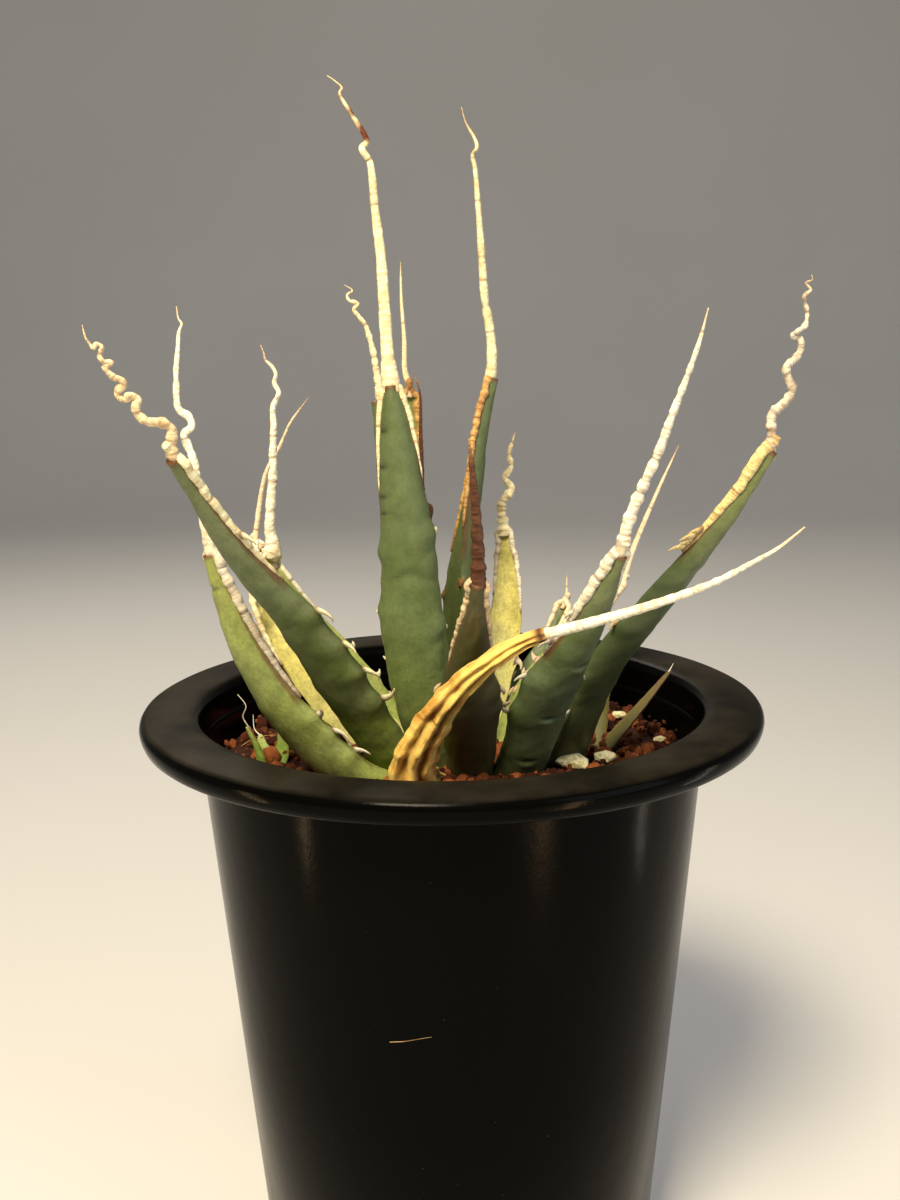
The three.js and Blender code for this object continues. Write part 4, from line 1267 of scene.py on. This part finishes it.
@dataclass(frozen=True)
class Pup:
    """A small offset of a few leaves on one foot, with a pale thread at each tip."""

    name: str
    foot: Pair
    width: float
    thick: float
    lines: tuple[Line, ...]
    threads: tuple[Line, ...]
    skin: LeafSkin

    STEP = 0.3
    SIDES = 20

    def leaflet(self, line: Line) -> Piece:
        """One narrow leaf."""
        outward = np.array(line[2], float) - np.array(line[0], float)
        outward[2] = 0
        track = track_along(even_line(line, self.STEP), -unit(outward))
        share = track.share[:, None]
        side, upright, bulge = cross_section(self.SIDES)
        chance = np.random.default_rng(int(abs(line[0][0]) * 10 + abs(line[0][1]) * 7))
        wavy = 1 + 0.06 * ripple(track.run[:, None], 4, chance)
        half = self.width / 2 * lerp(1, 0.14, share**1.6) * wavy
        body = lerp(self.thick, 0.8, share) * bulge
        high = np.where(upright > NEARLY_FLAT, -0.2 * body, -body)
        edge = 0.5 * smooth_step((np.abs(side) - 0.85) / 0.1)
        values = {"along": share, "edge": edge, "painted_shade": np.zeros_like(high)}
        return rolled("leaflet", track.lay(side * half, high), values)

    def build(self) -> None:
        """Makes and dresses the offset and its threads."""
        deselect()
        bpy.ops.mesh.primitive_cone_add(
            vertices=24, radius1=self.width * 0.3 * MM, radius2=self.width * 0.45 * MM, depth=6 * MM,
            location=(self.foot[0] * MM, self.foot[1] * MM, (Soil.LEVEL - 2.5) * MM),
        )
        foot = settled("foot")
        bpy.ops.object.shade_smooth_by_angle(angle=math.radians(40))
        piece = joined(self.name, [self.leaflet(line) for line in self.lines] + [foot])
        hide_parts(self.name)
        dress(piece, self.skin.make(f"pup_skin_{self.name}"))
        threads = [thread("thread", line, 0.2, 0.07) for line in self.threads]
        dress(joined(f"{self.name}_threads", threads), CHALK.make(f"thread_{self.name}"))


def thread(name: str, line: Line, thick: float, thin: float) -> Piece:
    """A fine thread or fibre along a line.

    Args:
        name: The piece's name.
        line: The points that it passes through.
        thick: Its radius at the start.
        thin: Its radius at the end.

    Returns:
        The thread.
    """
    track = track_along(even_line(line, 0.5, least=12), np.array([0.1, 0.2, 1.0]))
    radius = lerp(thick, thin, track.share)
    values = {"along": lerp(0.3, 0.9, track.share), "crack": np.zeros_like(radius)}
    return rolled(name, rings_round(track, radius, radius, 7), values)


PUPS = (
    Pup(
        "pup_left", foot=(-44, -10), width=5.6, thick=2,
        lines=(
            ((-44.5, -11, 134.5), (-45.5, -12.5, 141), (-48, -13, 147)),
            ((-43, -9.5, 134.5), (-41, -8, 140), (-41.5, -7, 145)),
            ((-44, -8.5, 134.5), (-46, -6, 139), (-47, -3, 142)),
        ),
        threads=(
            ((-47.5, -13, 146), (-49, -14, 149.5), (-48, -15, 152.5), (-50, -14, 155)),
            ((-41.4, -7.2, 144), (-40.5, -7, 147.5), (-42, -8, 150)),
            ((-46.5, -4, 141.5), (-48.5, -2, 143), (-49, 0, 146)),
        ),
        skin=LeafSkin(foot=(126, 168, 50), low=(140, 184, 62), middle=(156, 194, 78), high=(190, 200, 112)),
    ),
    Pup(
        "pup_right", foot=(35, 0), width=5.4, thick=2.2,
        lines=(
            ((34.5, -2, 133.5), (40, 0, 139.5), (47, 3, 146.5), (54.5, 6, 154.5)),
            ((35, 1.5, 133.5), (37, 6, 142), (38.5, 8.5, 149), (43.5, 13, 158)),
            ((33, 0, 133.5), (31, 3, 140), (31, 7, 147), (34, 10, 153)),
        ),
        threads=(
            ((43, 12.6, 157), (45.5, 14, 160.5), (46, 15, 164)),
            ((54.2, 5.9, 154), (54.8, 6.1, 155), (55.4, 6.3, 156)),
        ),
        skin=LeafSkin(
            foot=(72, 68, 14), low=(86, 78, 20), middle=(98, 86, 28), high=(108, 78, 38), wax=0.05,
        ),
    ),
)


@dataclass(frozen=True)
class Pot:
    """A round black pot that widens upwards, with a broad flat rim and holes in its floor."""

    rim: float = 75
    height: float = 150
    mouth: float = 60.5
    neck: float = 61.7
    foot: float = 48.5
    wall: float = 1.5
    rim_thickness: float = 2.2
    lip: float = 5.5
    floor: float = 2.5
    drain: float = 4
    drain_circle: float = 30
    drains: int = 6
    segments: int = 144

    def wall_at(self, height: float) -> float:
        """The outer radius of the wall at a height."""
        return lerp(self.foot, self.neck, height / (self.height - self.rim_thickness))

    def outline(self) -> list[Pair]:
        """Radius and height, from the foot's edge over the rim and down the inside to the floor."""
        under = self.height - self.rim_thickness
        step = self.height - 8
        bore = [self.wall_at(z) - self.wall for z in (step, 70, self.floor)]
        return [
            (self.foot - 2, 0), (self.foot - 0.8, 0.5), (self.wall_at(2), 2), (self.wall_at(70), 70),
            (self.wall_at(140), 140), (self.neck, under - 0.8), (self.neck + 0.7, under),
            (self.rim - 3.4, under), (self.rim - 3, under - 0.3), (self.rim - 2, self.height - self.lip),
            (self.rim - 1.4, self.height - self.lip), (self.rim - 0.7, self.height - self.lip + 0.6),
            (self.rim - 0.2, self.height - 3.6), (self.rim, self.height - 2.4),
            (self.rim - 0.2, self.height - 1.4), (self.rim - 0.8, self.height - 0.5),
            (self.rim - 1.8, self.height),
            (self.mouth + 3.4, self.height), (self.mouth + 1.7, self.height - 0.3),
            (self.mouth + 0.8, self.height - 0.9), (self.mouth + 0.1, self.height - 2),
            (self.mouth, self.height - 3.4), (bore[0] + 0.6, step + 0.3), (bore[0] + 0.1, step - 0.3),
            (bore[0], step - 1), (bore[1], 70), (bore[2] + 0.1, self.floor + 2),
            (bore[2] - 1.5, self.floor),
        ]

    def body(self) -> Piece:
        """The moulded body, raised ring by ring from a circle."""
        rings = self.outline()
        deselect()
        bpy.ops.mesh.primitive_circle_add(
            vertices=self.segments, radius=rings[0][0] * MM, fill_type="NOTHING",
            location=(0, 0, rings[0][1] * MM),
        )
        made = settled("pot")
        edit_all()
        bpy.ops.mesh.select_mode(type="EDGE")
        for (radius, height), (wider, higher) in zip(rings, rings[1:]):
            rise = (higher - height) * MM
            bpy.ops.mesh.extrude_edges_move(TRANSFORM_OT_translate={"value": (0, 0, rise)})
            grow = wider / radius
            bpy.ops.transform.resize(value=(grow, grow, 1), center_override=(0, 0, higher * MM))
        bpy.ops.mesh.edge_face_add()
        bpy.ops.mesh.select_all(action="DESELECT")
        bpy.ops.mesh.select_mode(type="VERT")
        bpy.ops.object.mode_set(mode="OBJECT")
        for vertex in made.data.vertices:
            vertex.select = vertex.co.z < NEARLY_FLAT
        bpy.ops.object.mode_set(mode="EDIT")
        bpy.ops.mesh.edge_face_add()
        face_outwards()
        return made

    def drill(self, body: Piece) -> None:
        """Cuts the drain holes through the floor."""
        drills = []
        for i in range(self.drains):
            angle = math.tau * i / self.drains
            out, across = self.drain_circle * math.cos(angle), self.drain_circle * math.sin(angle)
            deselect()
            bpy.ops.mesh.primitive_cylinder_add(
                vertices=32, radius=self.drain * MM, depth=4 * self.floor * MM,
                location=(out * MM, across * MM, 0),
            )
            drills.append(settled("drill"))
        cutter = joined("drain_cutter", drills)
        pick(body)
        cut = body.modifiers.new("drains", "BOOLEAN")
        cut.operation = "DIFFERENCE"
        cut.solver = "EXACT"
        cut.object = cutter
        bpy.ops.object.modifier_apply(modifier=cut.name)
        bpy.data.objects.remove(cutter)

    def build(self) -> None:
        """Makes and dresses the pot."""
        body = self.body()
        self.drill(body)
        pick(body)
        bpy.ops.object.shade_smooth_by_angle(angle=math.radians(32))
        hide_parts("pot")
        dress(body, PotPlastic().make("pot_plastic"))


@dataclass(frozen=True)
class Soil:
    """The soil in the pot: its kept solid, a cover of crumbs, a few pale stones and loose fibres.

    stones are the pale ones: where each lies, and its radius.
    """

    LEVEL = 136
    crumbs: int = 1150
    crumb_sizes: Pair = (0.9, 2.3)
    grains: int = 700
    grain_sizes: Pair = (0.4, 0.9)
    radius: float = 58.8
    seed: int = 36
    wear: float = 0.25
    stones: Line = (
        (28.3, -17.3, 3.4), (36.7, -13.1, 2.3), (51.5, 0.5, 1.5), (-27.6, 11.5, 1.4), (44, 22, 1.8),
        (-20, 46, 1.7),
    )
    fibres: tuple[Line, ...] = (
        ((-52, -2, 138.5), (-49, 2, 139.6), (-44, 5, 139.2), (-40, 11, 138.6)),
        ((-50, 36, 138.6), (-46, 42, 139.4), (-38, 45, 138.8)),
        ((-38, -30, 138.4), (-31, -34, 139.3), (-24, -41, 138.7)),
        ((20, -36, 138.4), (27, -40, 139.4), (31, -37, 138.8)),
        ((40, -28, 138.6), (46, -22, 139.3), (52, -18, 138.5)),
        ((-13.6, -54.9, 88.9), (-10.3, -55.7, 89.5), (-7, -56.3, 90.4), (-4.5, -56.5, 90.9)),
    )

    def lump(self, level: int) -> tuple[Array, Array]:
        """Points and triangles of a ball primitive, to copy as one crumb."""
        deselect()
        bpy.ops.mesh.primitive_ico_sphere_add(subdivisions=level, radius=1)
        ball = bpy.context.object
        points = np.array([v.co for v in ball.data.vertices])
        faces = np.array([list(p.vertices) for p in ball.data.polygons])
        bpy.data.objects.remove(ball)
        return points, faces

    def scatter(
        self, name: str, level: int, places: Array, sizes: Array, chance: Chance, flat: bool = False
    ) -> Piece:
        """Copies a crumb to each place, with its own turn, stretch, dents and shade.

        Args:
            name: The piece's name.
            level: How fine the ball is that the crumbs come from.
            places: The crumbs' middles.
            sizes: Their radii.
            chance: Draws their shapes.
            flat: Whether they are long flakes that lie on the soil.

        Returns:
            All of them as one piece.
        """
        points, faces = self.lump(level)
        rows, cells, shades = [], [], []
        for i, (place, size) in enumerate(zip(places, sizes)):
            axes = np.linalg.qr(chance.normal(size=(3, 3)))[0]
            bump = 1 + 0.5 * (chance.random((3, 3)) @ points.T ** 2 - 0.5).sum(0) * 0.3
            dent = 1 + chance.uniform(-0.16, 0.16, len(points))
            stretch = size * chance.uniform((0.7, 0.7, 0.5), (1.2, 1.1, 0.95))
            if flat:
                turn = Matrix.Rotation(chance.uniform(-0.5, 0.5), 3, "Z")
                axes = np.array(turn @ Matrix.Rotation(0.15, 3, "X"))
                stretch = size * np.array((1.25, 0.8, 0.5))
            rows.append((points * (bump * dent)[:, None] * stretch) @ axes.T + place)
            cells.append(faces + i * len(points))
            shades.append(np.full(len(points), chance.random()))
        mesh = bpy.data.meshes.new(name)
        mesh.from_pydata((np.vstack(rows) * MM).tolist(), [], np.vstack(cells).tolist())
        grain = mesh.attributes.new("grain", "FLOAT", "POINT")
        grain.data.foreach_set("value", np.concatenate(shades).astype(np.float32))
        made = placed(name, mesh)
        pick(made)
        face_outwards()
        bpy.ops.object.shade_smooth_by_angle(angle=math.radians(38))
        return made

    def spread(self, sizes: Array, low: float, high: float, chance: Chance) -> Array:
        """Random places over the soil's round top, between two heights above its level."""
        count = len(sizes)
        angle = chance.uniform(0, math.tau, count)
        out = (self.radius - 1.3 * sizes) * np.sqrt(chance.random(count))
        height = self.LEVEL + chance.uniform(low, high, count)
        return np.stack([out * np.cos(angle), out * np.sin(angle), height], axis=1)

    def build(self, finish: Material) -> None:
        """Makes and dresses what lies on the soil, and dresses the soil's own solid."""
        chance = np.random.default_rng(self.seed)
        cover(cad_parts["soil"], finish)
        sizes = chance.uniform(*self.crumb_sizes, self.crumbs)
        coarse = self.scatter("soil_crumbs", 2, self.spread(sizes, 0, 2.2, chance), sizes, chance)
        dress(coarse, finish)
        small = chance.uniform(*self.grain_sizes, self.grains)
        fine = self.scatter("soil_grains", 1, self.spread(small, 1.2, 3.2, chance), small, chance)
        dress(fine, finish)
        places = np.array([(x, y, self.LEVEL + 1.9 + 0.2 * size) for x, y, size in self.stones])
        wide = np.array([1.15 * size for *_, size in self.stones])
        pale = self.scatter("pale_stones", 1, places, wide, chance, True)
        pick(pale)
        worn = pale.modifiers.new("worn", "BEVEL")
        worn.width = self.wear * MM
        worn.segments = 2
        bpy.ops.object.modifier_apply(modifier=worn.name)
        dress(pale, Pumice().make("pumice"))
        fibres = [thread("fibre", line, 0.11, 0.05) for line in self.fibres]
        straw = Bark(light=(176, 146, 102), dark=(112, 82, 50))
        dress(joined("fibres", fibres), straw.make("dry_fibre"))


@dataclass(frozen=True)
class Studio:
    """The camera where the photograph was taken from, a plain pale floor and soft lights."""

    eye: Point = (4.4, -308.5, 234.9)
    pitch: float = 11.14
    yaw: float = -0.8
    roll: float = -0.96
    long_side: int = 1200
    focal: float = 1298
    sensor: float = 36
    room: float = 8
    wall: float = 1.4
    bend: float = 0.9
    bend_steps: int = 20
    glow: float = 20.0
    strip_height: float = 150
    strip_middle: Point = (0, 0, 80)
    strip_ring: float = 260

    def stand(self, piece: Piece, place: Point, axes: list[Array]) -> None:
        """Puts a camera or lamp at a place, with its own three axes along the given directions."""
        turned = Matrix(axes).transposed().to_4x4()
        piece.matrix_world = Matrix.Translation([c * MM for c in place]) @ turned

    def camera(self) -> None:
        """Places the camera and makes it the scene's own."""
        pitch, yaw, roll = (math.radians(a) for a in (self.pitch, self.yaw, self.roll))
        level_reach = math.cos(pitch)
        ahead = np.array([math.sin(yaw) * level_reach, math.cos(yaw) * level_reach, -math.sin(pitch)])
        right = unit(np.cross(ahead, [0, 0, 1]))
        up = np.cross(right, ahead)
        level = right * math.cos(roll) + up * math.sin(roll)
        upright = up * math.cos(roll) - right * math.sin(roll)
        data = bpy.data.cameras.new("camera")
        data.sensor_width = self.sensor
        data.lens = self.focal / self.long_side * self.sensor
        data.clip_start = 0.01
        camera = placed("camera", data)
        self.stand(camera, self.eye, [level, upright, -ahead])
        bpy.context.scene.camera = camera

    def light(
        self, name: str, place: Point, target: Point, size: Pair, power: float, tone: Tone
    ) -> Piece:
        """Hangs a soft box in the room.

        Args:
            name: Its name.
            place: Where it hangs.
            target: What it points at.
            size: Its width and height.
            power: Its power in watts.
            tone: Its colour.

        Returns:
            The lamp.
        """
        data = bpy.data.lights.new(name, "AREA")
        data.shape = "RECTANGLE"
        data.size, data.size_y = size[0] * MM, size[1] * MM
        data.energy = power
        data.color = linear(tone)[:3]
        lamp = placed(name, data)
        back = unit(np.array(place, float) - np.array(target, float))
        side = unit(np.cross([0, 0, 1], back))
        self.stand(lamp, place, [side, np.cross(back, side), back])
        return lamp

    def floor(self) -> None:
        """Lays a plain pale floor that sweeps up into a wall behind, without a corner."""
        deselect()
        bpy.ops.mesh.primitive_plane_add(size=self.room, location=(0, self.wall - self.room / 2, 0))
        ground = settled("floor")
        edit_all()
        bpy.ops.mesh.select_mode(type="EDGE")
        bpy.ops.mesh.select_all(action="DESELECT")
        bpy.ops.object.mode_set(mode="OBJECT")
        for vertex in ground.data.vertices:
            vertex.select = vertex.co.y > self.wall - 0.01
        for edge in ground.data.edges:
            edge.select = all(ground.data.vertices[i].select for i in edge.vertices)
        bpy.ops.object.mode_set(mode="EDIT")
        for i in range(self.bend_steps):
            start, end = (math.pi / 2 / self.bend_steps * step for step in (i, i + 1))
            out = self.bend * (math.sin(end) - math.sin(start))
            rise = self.bend * (math.cos(start) - math.cos(end))
            bpy.ops.mesh.extrude_edges_move(TRANSFORM_OT_translate={"value": (0, out, rise)})
        bpy.ops.mesh.extrude_edges_move(TRANSFORM_OT_translate={"value": (0, 0, self.room / 2)})
        bpy.ops.object.mode_set(mode="OBJECT")
        bpy.ops.object.shade_smooth()
        shader = Shader("floor")
        cloud = shader.noise(shader.place(), 3, 2)
        colour = shader.ramp(cloud, [(0.3, (212, 211, 208)), (0.7, (215, 214, 212))])
        ground.data.materials.append(shader.finish(colour, 0.8, shader.bump(cloud, 0.01)))

    def build(self) -> None:
        """Sets up the camera, floor, lights and air."""
        self.camera()
        self.floor()
        middle = (0, 0, 170)
        self.light("key", (-180, -560, 850), middle, (280, 280), 15.5, (255, 238, 206))
        self.light("fill", (800, -500, 500), middle, (700, 700), 3, (232, 238, 255))
        self.light("back", (-300, 800, 900), middle, (500, 300), 4, (255, 244, 228))
        strips = ((-152, 14, (255, 214, 160)), (-54, 22, (255, 206, 150)), (-4, 8, (255, 240, 220)))
        for angle, width, tone in strips:
            turn = math.radians(angle)
            place = (
                self.strip_ring * math.cos(turn), self.strip_ring * math.sin(turn), self.strip_middle[2],
            )
            power = self.glow * width * self.strip_height * MM * MM * math.pi
            strip = self.light("strip", place, self.strip_middle, (width, self.strip_height), power, tone)
            strip.visible_camera = False
            strip.visible_diffuse = False
        world = bpy.data.worlds.new("air")
        world.use_nodes = True
        air = world.node_tree.nodes["Background"].inputs
        air["Color"].default_value = (0.86, 0.88, 0.92, 1)
        air["Strength"].default_value = 0.24
        bpy.context.scene.world = world
        bpy.context.scene.view_settings.view_transform = "Standard"


def main() -> None:
    """Builds the scene."""
    Studio().build()
    Pot().build()
    Soil().build(SoilGrit().make("soil_grit"))
    cover(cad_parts["stem"], Bark().make("stem_bark"))
    for part in (*LEAVES, DriedLeaf(), *PUPS):
        part.build()


if __name__ == "__main__":
    main()
